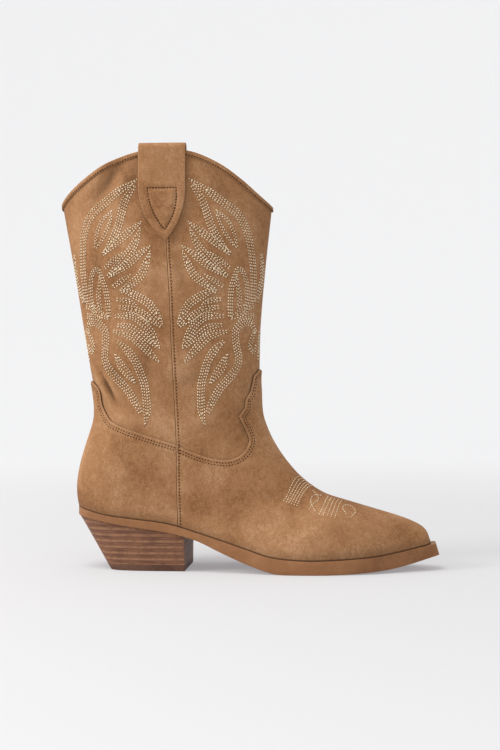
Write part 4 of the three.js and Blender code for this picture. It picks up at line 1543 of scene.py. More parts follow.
class Cut(Enum):
    """How a panel ends at a line: where it is scored, and the depths of what is sewn along it."""

    HIDDEN = ()
    PLAIN = (0.25, 0.6)
    SEAM = (0.25, 0.6, 1.1, 1.6, 2.0, 2.4, 3.2)
    EDGE = (0.22, 0.6, 1.2, 2.1, 2.6, 3.1, 4.1, 4.6, 5.1, 6.0)

    @property
    def rows(self) -> tuple[float, ...]:
        """Distances from the edge of its rows of stitches."""
        return {"SEAM": (2.0,), "EDGE": (2.6, 4.6)}.get(self.name, ())


@dataclass(frozen=True)
class Limit:
    """Where a panel ends.

    Attributes:
        line: Name of the line.
        side: 1 if the panel is on the line's high side, and -1 on its low side.
        inset: How far it stays from the line.
        cut: How it ends there.
    """

    line: str
    side: int
    inset: float = 0.0
    cut: Cut = Cut.HIDDEN


@dataclass(frozen=True)
class Panel:
    """One leather or fibre panel of the upper.

    Attributes:
        name: Of its CAD node.
        slot: Its finish.
        layer: Offsets of its inner and outer face.
        ahead: In front of the side seam.
        span: Its first and last v.
        pitch: Size of its cells.
        limits: Where it ends.
    """

    name: str
    slot: str
    layer: tuple[float, float]
    ahead: bool
    span: tuple[float, float]
    pitch: float
    limits: tuple[Limit, ...]


ON_SOLE, UNDER_TOP = Limit("sole", 1, 0.3), Limit("top", -1)
LAPPED, AHEAD = (Limit("seam", 1, 0.15, cut) for cut in (Cut.SEAM, Cut.PLAIN))
BEHIND = Limit("seam", -1, 0.15, Cut.PLAIN)
ABOVE_SPLIT, BELOW_SPLIT = Limit("split", 1, 0.2), Limit("split", -1, 0.2)
SHAFT, FOOT, TOE, WHOLE_FOOT = (0.0, 0.63), (0.15, 0.75), (0.6, 1.02), (0.15, 1.02)
PANELS = (
    Panel("vamp", "suede", OVERLAY, True, WHOLE_FOOT, 1.5, (ON_SOLE, LAPPED, Limit("vamp", -1, 0, Cut.EDGE))),
    Panel(
        "counter", "suede", OVERLAY, False, FOOT, 1.5,
        (ON_SOLE, BEHIND, Limit("counter", -1, 0, Cut.EDGE)),
    ),
    Panel("shaft_front", "suede", MIDDLE, True, SHAFT, 1.7, (LAPPED, Limit("front_tuck", 1), UNDER_TOP)),
    Panel("shaft_back", "suede", MIDDLE, False, SHAFT, 1.7, (BEHIND, Limit("back_tuck", 1), UNDER_TOP)),
    Panel("toe_puff", "stiffener", MIDDLE, True, TOE, 2.6, (ON_SOLE, Limit("puff", 1, 0.2))),
    Panel(
        "vamp_interlining", "canvas", MIDDLE, True, (0.15, 0.93), 2.6,
        (ON_SOLE, Limit("seam", 1, 0.2), Limit("front_tuck", -1, 0.4), Limit("puff", -1, 0.2)),
    ),
    Panel(
        "heel_stiffener", "stiffener", MIDDLE, False, FOOT, 2.6,
        (ON_SOLE, Limit("seam", -1, 0.2), Limit("back_tuck", -1, 0.4)),
    ),
    Panel("shaft_lining_front", "lining", LINING, True, SHAFT, 2.2, (AHEAD, ABOVE_SPLIT, UNDER_TOP)),
    Panel("shaft_lining_back", "lining", LINING, False, SHAFT, 2.2, (BEHIND, ABOVE_SPLIT, UNDER_TOP)),
    Panel("vamp_lining", "lining", LINING, True, (0.3, 1.02), 2.2, (ON_SOLE, AHEAD, BELOW_SPLIT)),
    Panel("heel_lining", "lining", LINING, False, (0.3, 0.75), 2.2, (ON_SOLE, BEHIND, BELOW_SPLIT)),
)


class Upper(Sewn):
    """Panels of the upper and the stitches along their edges."""

    ROUND = 0.4  # radius of a cut edge
    SKIVE = 0.4  # how much thinner the leather is at the edge
    GROOVE = 0.2  # depth to which a row of stitches pulls the leather in
    LIP = 0.3  # height of the roll beside a seam
    WAIST = 52.0  # radius by which the count of cells round the form is set
    STAND = 0.06  # how far stitches stand up from their groove

    def __init__(self, last: Last, finishes: Finishes, machine: SewingMachine) -> None:
        """See Sewn."""
        super().__init__(last, finishes, machine)
        self.rows: dict[Sewing, list[Row]] = {Sewing.SEAM: [], Sewing.EDGE: []}

    def bound(self, limit: Limit, offset: float) -> Field:
        """Distance inside a limit."""
        measure = self.last.field(self.last.lines[limit.line], offset)
        return lambda sheet: limit.side * measure(sheet) - limit.inset

    def drop(self, cut: Cut, reach: np.ndarray) -> np.ndarray:
        """How far the outer face lies under its layer, at distances from an edge.

        Args:
            cut: How the panel ends there.
            reach: The distances.

        Returns:
            The drops; below 0 the leather stands up.
        """
        if not cut.value:
            return np.zeros_like(reach)
        near = 1 - np.clip(reach, 0, self.ROUND) / self.ROUND
        drop = self.ROUND * (1 - np.sqrt(np.maximum(1 - near**2, 0)))
        if cut is Cut.EDGE:
            drop += self.SKIVE * (1 - np.clip(reach / 2.2, 0, 1)) ** 2
        for row in cut.rows:
            drop += self.GROOVE * np.exp(-(((reach - row) / 0.45) ** 2))
        if cut is Cut.SEAM:
            drop -= self.LIP * np.exp(-(((reach - 0.9) / 0.7) ** 2)) * np.clip(reach / 0.5, 0, 1)
        return drop

    def panel(self, panel: Panel) -> bpy.types.Object:
        """Makes one panel and notes its rows of stitches."""
        around = int(2 * np.pi * self.WAIST / panel.pitch)
        start = -np.pi if panel.ahead else 0.0
        rows = self.last.rows(panel.pitch, *panel.span)
        patch = Patch(self.last, rows, np.linspace(start, start + 2 * np.pi, around + 1))
        outer = panel.layer[1]
        bounds = [self.bound(limit, outer) for limit in panel.limits]
        order = sorted(range(len(bounds)), key=lambda i: len(panel.limits[i].cut.value))
        for i in order:
            patch.score(bounds[i], (0.0, *panel.limits[i].cut.value), True)
        drop = np.zeros(len(patch.sheet))
        edge = np.full(len(patch.sheet), FAR)
        reaches = [bound(patch.sheet) for bound in bounds]
        for limit, reach in zip(panel.limits, reaches):
            if limit.cut.value:
                drop += self.drop(limit.cut, np.maximum(reach, 0))
                # Distance from a cut edge, for the edge tone and its painted shadow line; at seams it starts
                # 0.17 mm in, so less of the painted shadow line shows.
                edge = np.minimum(edge, np.maximum(reach, 0) + (0 if limit.cut is Cut.EDGE else 0.17))
        drop = np.minimum(drop, self.ROUND + self.SKIVE)
        shape = patch.wall(*panel.layer, drop, edge)
        if panel.slot == "suede":
            sheet = patch.sheet[np.unique(np.concatenate(patch.faces()))]
            # Crease depth, for painted shade in creases and a painted highlight on rolls.
            hollow = -self.last.relief(self.last.base(sheet[:, 0], sheet[:, 1]))
            shape.hollow = np.concatenate([hollow, hollow])
            if panel.layer == OVERLAY:
                # Distance from the sole, for painted shade where the upper meets it.
                seat = self.bound(ON_SOLE, outer)(sheet)
                shape.seat = np.concatenate([seat, seat])
        self.note_rows(panel, patch, bounds)
        suede = panel.slot == "suede"
        name = f"suede_{panel.name}" if suede else f"{panel.name}_sheet"
        return dressed(shape.piece(name, self.finishes[panel.slot]), panel.slot, panel.name)

    def note_rows(self, panel: Panel, patch: Patch, bounds: Sequence[Field]) -> None:
        """Keeps the stretches of a panel's rows of stitches that are clear of its other edges.

        Args:
            panel: The panel.
            patch: Its cells, scored along the rows.
            bounds: Distance inside each of its limits.
        """
        outer = panel.layer[1]
        for i, limit in enumerate(panel.limits):
            kind = Sewing.SEAM if limit.cut is Cut.SEAM else Sewing.EDGE
            for depth in limit.cut.rows:
                for line in patch.row(bounds[i], depth):
                    clear = np.ones(len(line), bool)
                    for k, other in enumerate(bounds):
                        if k != i:
                            clear &= other(line) > (0.8 if panel.limits[k].cut.value else -0.2)
                    if limit.cut is Cut.SEAM and panel.layer == MIDDLE:
                        clear &= self.last.field(self.last.lines["vamp"], outer)(line) > 0.5
                    points, normals = self.last.on(line, outer - self.GROOVE + self.STAND)
                    self.rows[kind] += [(points[part], normals[part]) for part in stretches(clear, 4)]

    def build(self) -> None:
        """Makes every panel and sews the edges."""
        for panel in PANELS:
            self.panel(panel)
        for seed, (kind, rows) in enumerate(self.rows.items(), 11):
            self.sew(f"{kind.name.lower()}_stitches", rows, kind, "thread_dark", seed)


class Binding(Sewn):
    """The strip folded over the top edge, with its row of stitches."""

    DEPTH = 3.1  # how far it reaches down
    OUTER = 1.1  # offsets of its two faces
    INNER = -4.1
    TOP = -1.1  # depth of its fold, which stands above the top line
    STITCHES = 2.3  # depth of its rows
    SINK = 0.04

    def below_edge(self, angles: np.ndarray, depth: float) -> np.ndarray:
        """v at each angle, a depth under the top line."""
        measure = self.last.field(self.last.lines["top"], 0.0)

        def above(v: np.ndarray) -> np.ndarray:
            return measure(np.stack([v, angles], 1)) > -depth

        return bisected(above, np.zeros(len(angles)), np.full(len(angles), 0.25), 27)

    def build(self) -> None:
        """Makes the binding and sews it."""
        angles = np.linspace(-np.pi, np.pi, 361)[:-1]
        middle = (self.OUTER + self.INNER) / 2
        half = (self.OUTER - self.INNER) / 2
        profile = [(self.DEPTH, 0.35), (self.DEPTH + 0.05, 0.75), (self.DEPTH - 0.25, self.OUTER - 0.02)]
        profile += [(self.STITCHES, self.OUTER - 0.1), (1.2, self.OUTER + 0.08), (0.4, self.OUTER + 0.02)]
        for turn in np.linspace(0.12, np.pi - 0.12, 9):
            reach = abs(math.cos(turn)) ** 0.75 * math.copysign(1, math.cos(turn))
            rise = math.sin(turn) ** 0.75
            profile.append((0.1 + (self.TOP - 0.1) * rise, middle + half * reach))
        profile += [(0.4, self.INNER - 0.02), (1.2, self.INNER - 0.05), (self.DEPTH - 0.25, self.INNER + 0.02)]
        profile += [(self.DEPTH, self.INNER + 0.35), (self.DEPTH, -3.35), (-0.28, -3.3), (-0.28, 0.3)]
        rings = []
        for depth, offset in profile:
            rings.append(self.last.point(self.below_edge(angles, depth), angles, offset))
        shape = outward(ribbon(list(np.stack(rings, 1)), True))
        piece = shape.piece("rolled_binding", self.finishes["suede"], 60)
        dressed(piece, "suede", "topline_binding")
        loop = np.append(angles, angles[0] + 2 * np.pi)
        sheet = np.stack([self.below_edge(loop, self.STITCHES), loop], 1)
        rows = []
        for offset, sign in ((self.OUTER - self.SINK, 1.0), (self.INNER + self.SINK, -1.0)):
            points, normals = self.last.on(sheet, offset)
            rows.append((points, normals * sign))
        self.sew("binding_stitches", rows, Sewing.BINDING, "thread_dark", 21)


class PullStrap(Sewn):
    """A strip sewn down outside, looped over the mouth and sewn down inside."""

    OUTER = 2.2  # offsets of the middle of its two legs
    INNER = -5.2
    HALF = 0.8  # half its thickness
    # Heights of the sewn window's outline, and half its width there.
    WINDOW = ((299.0, 11.2), (292.0, 10.9), (285.0, 9.7), (278.0, 7.2), (272.0, 3.9), (267.0, 0.4))
    PUFF = 0.75  # how far the window swells
    SINK = 0.22  # how far the stitches lie under the outer face

    def __init__(self, last: Last, finishes: Finishes, machine: SewingMachine, name: str, side: int) -> None:
        """Args:
            last: The form.
            finishes: The materials.
            machine: Sews its window.
            name: Of its CAD node.
            side: -1 on the outer side of the foot and 1 on the inner.
        """
        super().__init__(last, finishes, machine)
        self.name, self.side = name, side
        self.middle = SIDE_SEAM[-1][0] + last.origin[0]
        self.tip = STRAP_TOP - STRAP_DROP
        share = np.linspace(0, 1, 60)[:, None]
        reach, half = STRAP_TAPER, STRAP_WIDTH / 2
        corner = np.array([-half, self.tip + reach])
        pull = np.array([-half, self.tip + reach * STRAP_EASE])
        point = np.array([STRAP_LEAN, self.tip])
        left = (1 - share) ** 2 * corner + 2 * share * (1 - share) * pull + share**2 * point
        corner, pull = corner * (-1, 1), pull * (-1, 1)
        right = (1 - share) ** 2 * corner + 2 * share * (1 - share) * pull + share**2 * point
        self.left, self.right = left[::-1], right[::-1]
        z, wide = np.array(self.WINDOW).T
        middle = self.middle + np.interp(z, [self.tip, self.tip + reach], [STRAP_LEAN, 0])
        self.window = np.vstack([np.stack([middle - wide, z], 1), np.stack([middle + wide, z], 1)[::-1]])

    def puff(self, spots: np.ndarray) -> np.ndarray:
        """How far the strap's outer face stands up round and in its window."""
        reach = ring_reach(self.window, spots)
        inside = np.clip(reach / 3.6, 0, 1)
        swell = self.PUFF * inside * inside * (3 - 2 * inside)
        roll = 0.3 * np.exp(-(((reach + 2.6) / 1.6) ** 2))
        return swell + roll - 0.45 * np.exp(-((reach / 0.8) ** 2))

    def places(self, spots: np.ndarray, offset: float) -> np.ndarray:
        """Places on the form behind points of the strap, given as x and z."""
        return self.last.locate(spots, (0, 2), (0.08, self.side * 1.6), offset)

    def ring(self, outer: np.ndarray, inner: np.ndarray, thick: np.ndarray) -> np.ndarray:
        """A section from points across both faces, pinched to a round at its two sides."""
        centre, half = (outer + inner) / 2, (outer - inner) / 2
        up, down = centre + half * thick[:, None], centre - half * thick[:, None]
        return np.vstack([up, down[-2:0:-1]])

    def build(self) -> None:
        """Makes the strap and sews its window."""
        edge = np.array([0.0, 0.1, 0.3, 0.65, 1.1])
        across = np.concatenate([edge, np.linspace(1.9, STRAP_WIDTH - 1.9, 31), STRAP_WIDTH - edge[::-1]])
        share = across / STRAP_WIDTH
        near = 1 - np.clip(np.minimum(across, STRAP_WIDTH - across) / 0.65, 0, 1)
        thick = np.sqrt(np.maximum(1 - near**2, 0))
        heights = np.concatenate([
            self.tip + np.array([0.35, 0.8, 1.4, 2.1, 3.0]), np.arange(self.tip + 4, 329.0, 1.1), [329.8],
        ])
        spots = []
        for z in heights:
            left = np.interp(z, self.left[:, 1], self.left[:, 0])
            right = np.interp(z, self.right[:, 1], self.right[:, 0])
            x = self.middle + left + (right - left) * share
            spots.append(np.stack([x, np.full(len(x), z)], 1))
        flat = np.vstack(spots)
        centre, normal = self.last.on(self.places(flat, self.OUTER), self.OUTER)
        fade = np.clip((flat[:, 1] - 322) / 7, 0, 1)
        outer = centre + normal * (self.HALF + self.puff(flat) * (1 - fade))[:, None]
        inner = centre - normal * self.HALF
        width = len(across)
        parts = [slice(k * width, (k + 1) * width) for k in range(len(heights))]
        rings = [self.ring(outer[part], inner[part], thick) for part in parts]
        x = self.middle + (share - 0.5) * STRAP_WIDTH
        top = np.stack([x, np.full(width, STRAP_BEND_Z)], 1)
        start = self.last.on(self.places(top, self.OUTER), self.OUTER)[0]
        end = self.last.on(self.places(top, self.INNER), self.INNER)[0]
        middle, arm = (start + end) / 2, (start - end) / 2
        reach = np.linalg.norm(arm, axis=1)[:, None]
        for turn in np.linspace(0, np.pi, 15):
            away = arm / reach * math.cos(turn) + np.array([0, 0, 1.0]) * math.sin(turn)
            faces = (middle + away * (reach + self.HALF), middle + away * (reach - self.HALF))
            rings.append(self.ring(*faces, thick))
        for z in np.arange(328.6, STRAP_TOP - STRAP_INNER_DROP - 0.01, -2.2):
            place = self.places(np.stack([x, np.full(width, z)], 1), self.INNER)
            centre, normal = self.last.on(place, self.INNER)
            rings.append(self.ring(centre - normal * self.HALF, centre + normal * self.HALF, thick))
        shape = outward(ribbon(rings))
        side = "outer" if self.side < 0 else "inner"
        # Distance from the strap's sides, for its edge tone and a painted shadow line along them.
        reach = np.minimum(across, STRAP_WIDTH - across)
        shape.edge = np.tile(np.concatenate([reach, reach[-2:0:-1]]), len(rings))
        dressed(shape.piece(f"folded_strap_{side}", self.finishes["suede"], 60), "suede", self.name)
        ring = np.vstack([self.window, self.window[:1]])
        run = run_along(ring)
        place = self.places(read_off(ring, run, np.linspace(0, run[-1], 120)), self.OUTER)
        row = self.last.on(place, self.OUTER + self.HALF - self.SINK)
        self.sew(f"strap_stitches_{side}", [row], Sewing.BINDING, "thread_dark", 31)


# ---------------------------------------------------------------- embroidery


@dataclass(frozen=True)
class Band:
    """A sewn shape of close rows, on a quarter laid flat.

    Attributes:
        line: Its middle line, as distance from the side seam and height.
        widths: Its width at places spread evenly along it.
    """

    line: tuple[tuple[float, float], ...]
    widths: tuple[float, ...]

    def rows(self, spacing: float) -> list[np.ndarray]:
        """Lines that follow its edges inwards, spacing apart."""
        line = catmull(self.line, np.linspace(0, 1, 24 * len(self.line)))
        run = run_along(line)
        at = np.arange(0, run[-1], 0.8)
        line = read_off(line, run, at)
        half = np.interp(at / run[-1], np.linspace(0, 1, len(self.widths)), self.widths) / 2
        slope = np.gradient(line, axis=0)
        slope /= np.hypot(slope[:, 0], slope[:, 1])[:, None]
        normal = np.stack([-slope[:, 1], slope[:, 0]], 1)
        made = []
        for k in range(6):
            inset = (k + 0.5) * spacing
            away = half - inset
            for side in (1, -1):
                ok = away > 0.3 * spacing
                if k == 0 and side == 1:
                    ok = np.ones(len(at), bool)
                made += runs(line + normal * (np.maximum(away, 0) * side)[:, None], ok)
            if k:
                made += runs(line, (away <= 0.3 * spacing) & (away > -0.25 * spacing))
        return made


def runs(line: np.ndarray, ok: np.ndarray) -> list[np.ndarray]:
    """The stretches of a line where ok holds."""
    return [line[part] for part in stretches(ok, 3)]


BACK_MOTIF = (
    Band(
        (
            (21, 306), (36, 297), (49, 288), (60, 280), (66, 271),
            (70, 261), (72, 250), (73.5, 237), (73.5, 225), (73, 212),
        ),
        (2.2, 7, 7.4, 7.4, 7.4, 7.4, 7),
    ),
    Band(((24, 301), (31, 290), (35, 278), (38, 269), (43, 260), (51, 249)), (5, 6.8, 7, 6.8, 3.5)),
    Band(((84, 249), (86, 239), (85.5, 230), (82, 222), (77, 212)), (3.6, 8, 8, 8, 5)),
    Band(((42, 282), (45, 272), (50, 263), (58, 253)), (2.4, 3.5, 3.5, 2.4)),
    Band(((43, 281), (51, 275), (56, 266), (59, 254)), (2.4, 3.5, 3.5, 2.4)),
    Band(((19, 273), (31, 264), (41, 257), (52, 249)), (2.2, 6.8, 7, 4)),
    Band(((20, 268), (25, 256), (32, 247), (40, 239), (49, 231)), (2.2, 7, 7.6, 7, 3.6)),
    Band(((36, 249), (43, 244), (51, 238)), (2.2, 5.2, 3.6)),
    Band(((13, 254), (22, 248), (31, 241), (47, 232)), (2.2, 6.6, 7, 4)),
    Band(((13, 250), (17, 240), (22, 231), (30, 225), (39, 219)), (2.2, 6.8, 7.2, 6.8, 3.6)),
    Band(((30, 232), (37, 228), (45, 223)), (2.2, 5, 3.6)),
    Band(((38, 221), (29, 217), (18, 211), (12, 204), (6, 194)), (3.6, 7, 7.2, 6.8, 2.2)),
    Band(((42, 213), (34, 212), (26, 209)), (3.6, 5.2, 2.2)),
    Band(((40, 207), (28, 205), (19, 200), (8, 192)), (3.6, 6, 7, 3)),
    Band(((44, 200), (31, 200), (22, 195), (15, 186), (9, 175)), (3.6, 6.8, 7.4, 7, 2.2)),
    Band(((42, 193), (31, 191), (20, 183), (12, 176)), (3.6, 6, 6, 3)),
    Band(((46, 188), (33, 185), (24, 178), (17, 171), (10, 164)), (3.6, 6.8, 7.4, 6.8, 2.2)),
    Band(
        ((43, 180), (36, 174), (30, 166), (26, 156), (23, 146), (22, 134), (22, 125), (24, 115)),
        (3.6, 7, 7, 7, 7, 7, 6.8, 2.2),
    ),
    Band(((45, 170), (40, 163), (35, 156), (30, 148)), (2.4, 3.5, 3.5, 2.4)),
    Band(((46, 170), (43, 160), (38, 154), (31, 148)), (2.4, 3.5, 3.5, 2.4)),
    Band(
        (
            (74, 188), (70, 195), (62, 195), (55, 190), (54, 183), (55, 175),
            (56, 167), (53, 159), (46, 151), (38, 143), (31.5, 133), (27, 124.5),
        ),
        (5, 6.5, 7, 7, 7, 7, 7, 7, 7, 6.8, 4.6),
    ),
    Band(
        (
            (64, 204), (66.5, 215), (66, 226), (63.5, 234), (59, 237),
            (55, 231), (52, 222), (50.5, 211), (50, 200),
        ),
        (4, 5, 5, 4.6, 4.4, 4.8, 5.2, 5.2, 4.4),
    ),
    Band(((57, 231), (58, 222), (59, 213), (57, 206)), (2.4, 4.6, 5.2, 4)),
    Band(((51, 199), (58, 202), (65, 207), (73, 209)), (4, 7, 7.2, 5)),
    Band(((57, 198), (65, 200), (73, 201)), (4, 5.4, 5)),
    Band(((76, 190), (71, 184), (68, 176), (72, 172), (75, 178)), (3.6, 5, 5, 4, 3)),
    Band(((82, 188), (80, 177), (78, 166)), (4, 5, 3)),
)
FRONT_SHARE = 0.95

# Rows on the vamp's top, as x and distance from the middle line, each from the ridge outwards.
TOE_LINES = (
    *(
        (
            (40.5 + 1.75 * k, 2.5), (37.0 + 1.85 * k, 9.0),
            (33.0 + 1.95 * k, 16.0), (28.6 + 2.05 * k, 23.0 + 0.35 * k),
        )
        for k in range(6)
    ),
    ((51.0, 9.0), (54.6, 12.5), (54.9, 17.0), (51.6, 21.5), (48.6, 26.0)),
    ((57.0, 10.5), (52.0, 13.0), (49.6, 17.5), (50.2, 22.5), (52.8, 27.0)),
    *(
        (
            (62.6 + 2.7 * k, 8.5 + 0.25 * k), (61.0 + 2.75 * k, 15.5),
            (59.2 + 2.85 * k, 23.0), (56.6 + 3.0 * k, 29.5 + 0.4 * k),
        )
        for k in range(5)
    ),
    ((77.0, 25.5), (74.6, 20.5), (75.8, 16.0), (79.6, 13.8), (83.2, 16.6), (84.2, 21.5), (81.0, 27.0)),
)


class Embroidery(Sewn):
    """Light stitched flames on the shaft and rows across the vamp."""

    SPACING = 1.7  # from one row to the next
    RAISE = 0.12  # how far the thread stands up

    def build(self) -> None:
        """Sews the four quarters, with dark dots as painted shade in their needle holes, and the vamp."""
        for number, (side, ahead) in enumerate(((-1, False), (-1, True), (1, False), (1, True))):
            quarter = Quarter(self.last, side, ahead)
            stretch = np.array([FRONT_SHARE if ahead else 1.0, 1.0])
            lines = [line for band in BACK_MOTIF for line in band.rows(self.SPACING)]
            rows = [self.last.on(quarter.places(line * stretch), MIDDLE[1] + self.RAISE) for line in lines]
            name = f"flame_{'outer' if side < 0 else 'inner'}_{'front' if ahead else 'back'}"
            self.sew(name, rows, Sewing.EMBROIDERY, "thread_light", 41 + number)
            # Dark dots half sunk in the leather between the light stitches: painted shade in the needle holes.
            sunk = [(points - normals * self.RAISE, normals) for points, normals in rows]
            self.sew(f"{name}_holes", sunk, Sewing.HOLE_SHADE, "thread_dark", 61 + number)
        rows = []
        for side in (-1, 1):
            for line in TOE_LINES:
                fine = catmull(line, np.linspace(0, 1, 30))
                target = fine * (1, side) + self.last.origin[:2]
                place = self.last.locate(target, (0, 1), (0.68, side * 0.4), OVERLAY[1])
                rows.append(self.last.on(place, OVERLAY[1] + self.RAISE))
        self.sew("vamp_embroidery", rows, Sewing.FINE, "thread_light", 51)


# ---------------------------------------------------------------- bottom


class Bottom:
    """Sole, insole, sock and the heel's stack."""

    TIP_WIDTH = 19.0
    TIP_RAKE = 2.4  # how far the tip leans back from its bottom to its top
    OVERHANG = 11.5
    RECESS = 2.8  # depth of the hollow for the filler and the shank
    GAP = 0.06
    THROUGH = 3.0  # how far a cutter reaches past the face it cuts
    HEAD = 2.0  # top of a nail's head above the sole
    HOLE_DEPTH = 27.4  # of a nail's hole, under the top of its head

    def __init__(self, last: Last, finishes: Finishes) -> None:
        """Args:
            last: The form.
            finishes: The materials.
        """
        self.last, self.finishes = last, finishes
        self.top = last.lines["sole"]
        self.under = last.line(smooth(SOLE_BOTTOM))

    def sole_bottom(self, x: np.ndarray) -> np.ndarray:
        """Height of the sole's underside, flat on the ground along the tread."""
        x = np.asarray(x, float)
        z = np.maximum(self.under.height(x), 0)
        flat = (x > TREAD[0] + self.last.origin[0]) & (x < TREAD[1] + self.last.origin[0])
        return np.where(flat, 0.0, z)

    def over_sole(self, lift: float) -> Field:
        """Height above the sole's top, at each x."""
        return lambda x: self.top.height(np.asarray(x, float)) + lift

    def outline(self) -> np.ndarray:
        """Plan of the sole, with its squared tip."""
        ring = self.last.feather(SOLE_MARGIN)
        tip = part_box("outsole")[1].x / MM
        middle = SECTIONS[-1][-1] + self.last.origin[1]
        sides = (middle - self.TIP_WIDTH / 2, middle + self.TIP_WIDTH / 2)
        return softened(resampled(squared(ring, tip - 2 * self.OVERHANG, tip, sides), 1.5), 2)

    def nails(self, heads: bool) -> Shape:
        """Round holes for the heel's nails, with room for their heads if asked."""
        turns = np.linspace(0, 2 * np.pi, 17)[:-1]
        circle = np.stack([np.cos(turns), np.sin(turns)], 1)
        shapes = []
        for x, y in NAIL_PLACES:
            place = np.array([x, y]) + self.last.origin[:2]
            head = float(self.top.height(np.array([place[0]]))[0]) + self.HEAD
            sizes = [(NAIL_HOLE, head - self.HOLE_DEPTH, head - 0.5)]
            if heads:
                sizes = [(NAIL_HOLE, head - 6, head - 1), (2.9, head - 1.2, head + 3)]
            for radius, low, high in sizes:
                ring = circle * radius + place
                shapes.append(slab(ring, ring, level(low), level(high), 0.05))
        return joined(shapes)

    def build_sole(self) -> None:
        """The outsole, hollowed for the filler and the shank."""
        low = self.outline()
        tip = low[:, 0].max()
        share = np.clip((low[:, 0] - (tip - 7)) / 7, 0, 1)
        high = low - np.stack([self.TIP_RAKE * share, np.zeros(len(low))], 1)
        shape = slab(low, high, self.sole_bottom, self.over_sole(0), 0.55)
        ox, oy = self.last.origin[:2]
        forepart = self.last.feather(-12.0)
        forepart = forepart[(forepart[:, 0] > 16 + ox) & (forepart[:, 0] < 118 + ox)]
        slot = np.array([(-104.3, -7.3), (6.3, -7.3), (6.3, 7.3), (-104.3, 7.3)]) + (ox, oy)
        slot = resampled(slot, 4.0)
        hollow = self.over_sole(-self.RECESS)
        cutters = [
            slab(forepart, forepart, hollow, self.over_sole(self.THROUGH), 0.05),
            slab(slot, slot, hollow, self.over_sole(self.THROUGH + 0.4), 0.05),
            self.nails(False),
        ]
        piece = carved(shape.piece("leather_outsole", self.finishes["sole"], 40), cutters)
        dressed(piece, "sole", "outsole")

    def build_insole(self) -> None:
        """The board with its nail holes, and the sock over it."""
        ring = self.last.feather(CAVITY - 0.4)
        board = slab(ring, ring, self.over_sole(0.3), self.over_sole(2.5), 0.2)
        piece = carved(board.piece("insole_sheet", self.finishes["board"], 40), [self.nails(True)])
        dressed(piece, "board", "insole_board")
        ring = self.last.feather(CAVITY - 0.8)
        sock = slab(ring, ring, self.over_sole(2.8), self.over_sole(4.2), 0.4)
        dressed(sock.piece("sock_sheet", self.finishes["lining"], 60), "lining", "sock_liner")

    def heel_ring(self, seat: np.ndarray, full: np.ndarray, z: float) -> np.ndarray:
        """Outline of the heel at a height."""
        back, widest = full[:, 0].min(), np.abs(full[:, 1]).max()
        top = float(self.under.height(np.array([back + self.last.origin[0]]))[0])
        down = 1 - z / top
        length = 1 + (HEEL_BASE / (HEEL_BREAST - back) - 1) * down
        width = 1 - 0.16 * down
        y = np.sign(seat[:, 1]) * widest * (np.abs(seat[:, 1]) / widest) ** (1 - 0.6 * down) * width
        return np.stack([HEEL_BREAST + (seat[:, 0] - HEEL_BREAST) * length, y], 1) + self.last.origin[:2]

    def seat(self, stop: float) -> np.ndarray:
        """Plan of the heel where it meets the sole, cut straight at x = stop, in the drawing's axes."""
        ring = self.last.feather(HEEL_MARGIN) - self.last.origin[:2]
        return softened(resampled(squared(ring, stop, stop), 1.3), 1)

    def build_heel(self) -> None:
        """The toplift and the lifts, the upper ones cut by the sole."""
        full = self.seat(HEEL_BREAST)
        top = float(self.under.height(np.array([full[:, 0].min() + self.last.origin[0]]))[0])
        pitch = (top - TOPLIFT) / LIFTS

        rings = [self.heel_ring(full, full, z) for z in (0, TOPLIFT - self.GAP)]
        cap = slab(*rings, level(0), level(TOPLIFT - self.GAP), 0.5)
        dressed(cap.piece("rubber_toplift", self.finishes["rubber"], 50), "rubber", "heel_toplift")
        nails = self.nails(False)
        for k in range(LIFTS):
            low, high = TOPLIFT + k * pitch, TOPLIFT + (k + 1) * pitch - self.GAP
            stop = HEEL_BREAST
            for x in np.arange(HEEL_BREAST, full[:, 0].min(), -0.5):
                stop = x
                if self.sole_bottom(x + self.last.origin[0]) - 0.2 > low + 0.5:
                    break
            seat = self.seat(stop)
            rings = [self.heel_ring(seat, full, z) for z in (low, high)]

            def ceiling(x: np.ndarray, high: float = high) -> np.ndarray:
                return np.minimum(high, self.sole_bottom(x) - 0.12)

            lift = slab(*rings, level(low), ceiling, 0.12, 4.0)
            piece = lift.piece(f"stacked_lift_{k + 1}", self.finishes["stack"], 40)
            if high > 14:
                piece = carved(piece, [nails])
            dressed(piece, "stack", f"heel_lift_{k + 1}")


# ---------------------------------------------------------------- studio


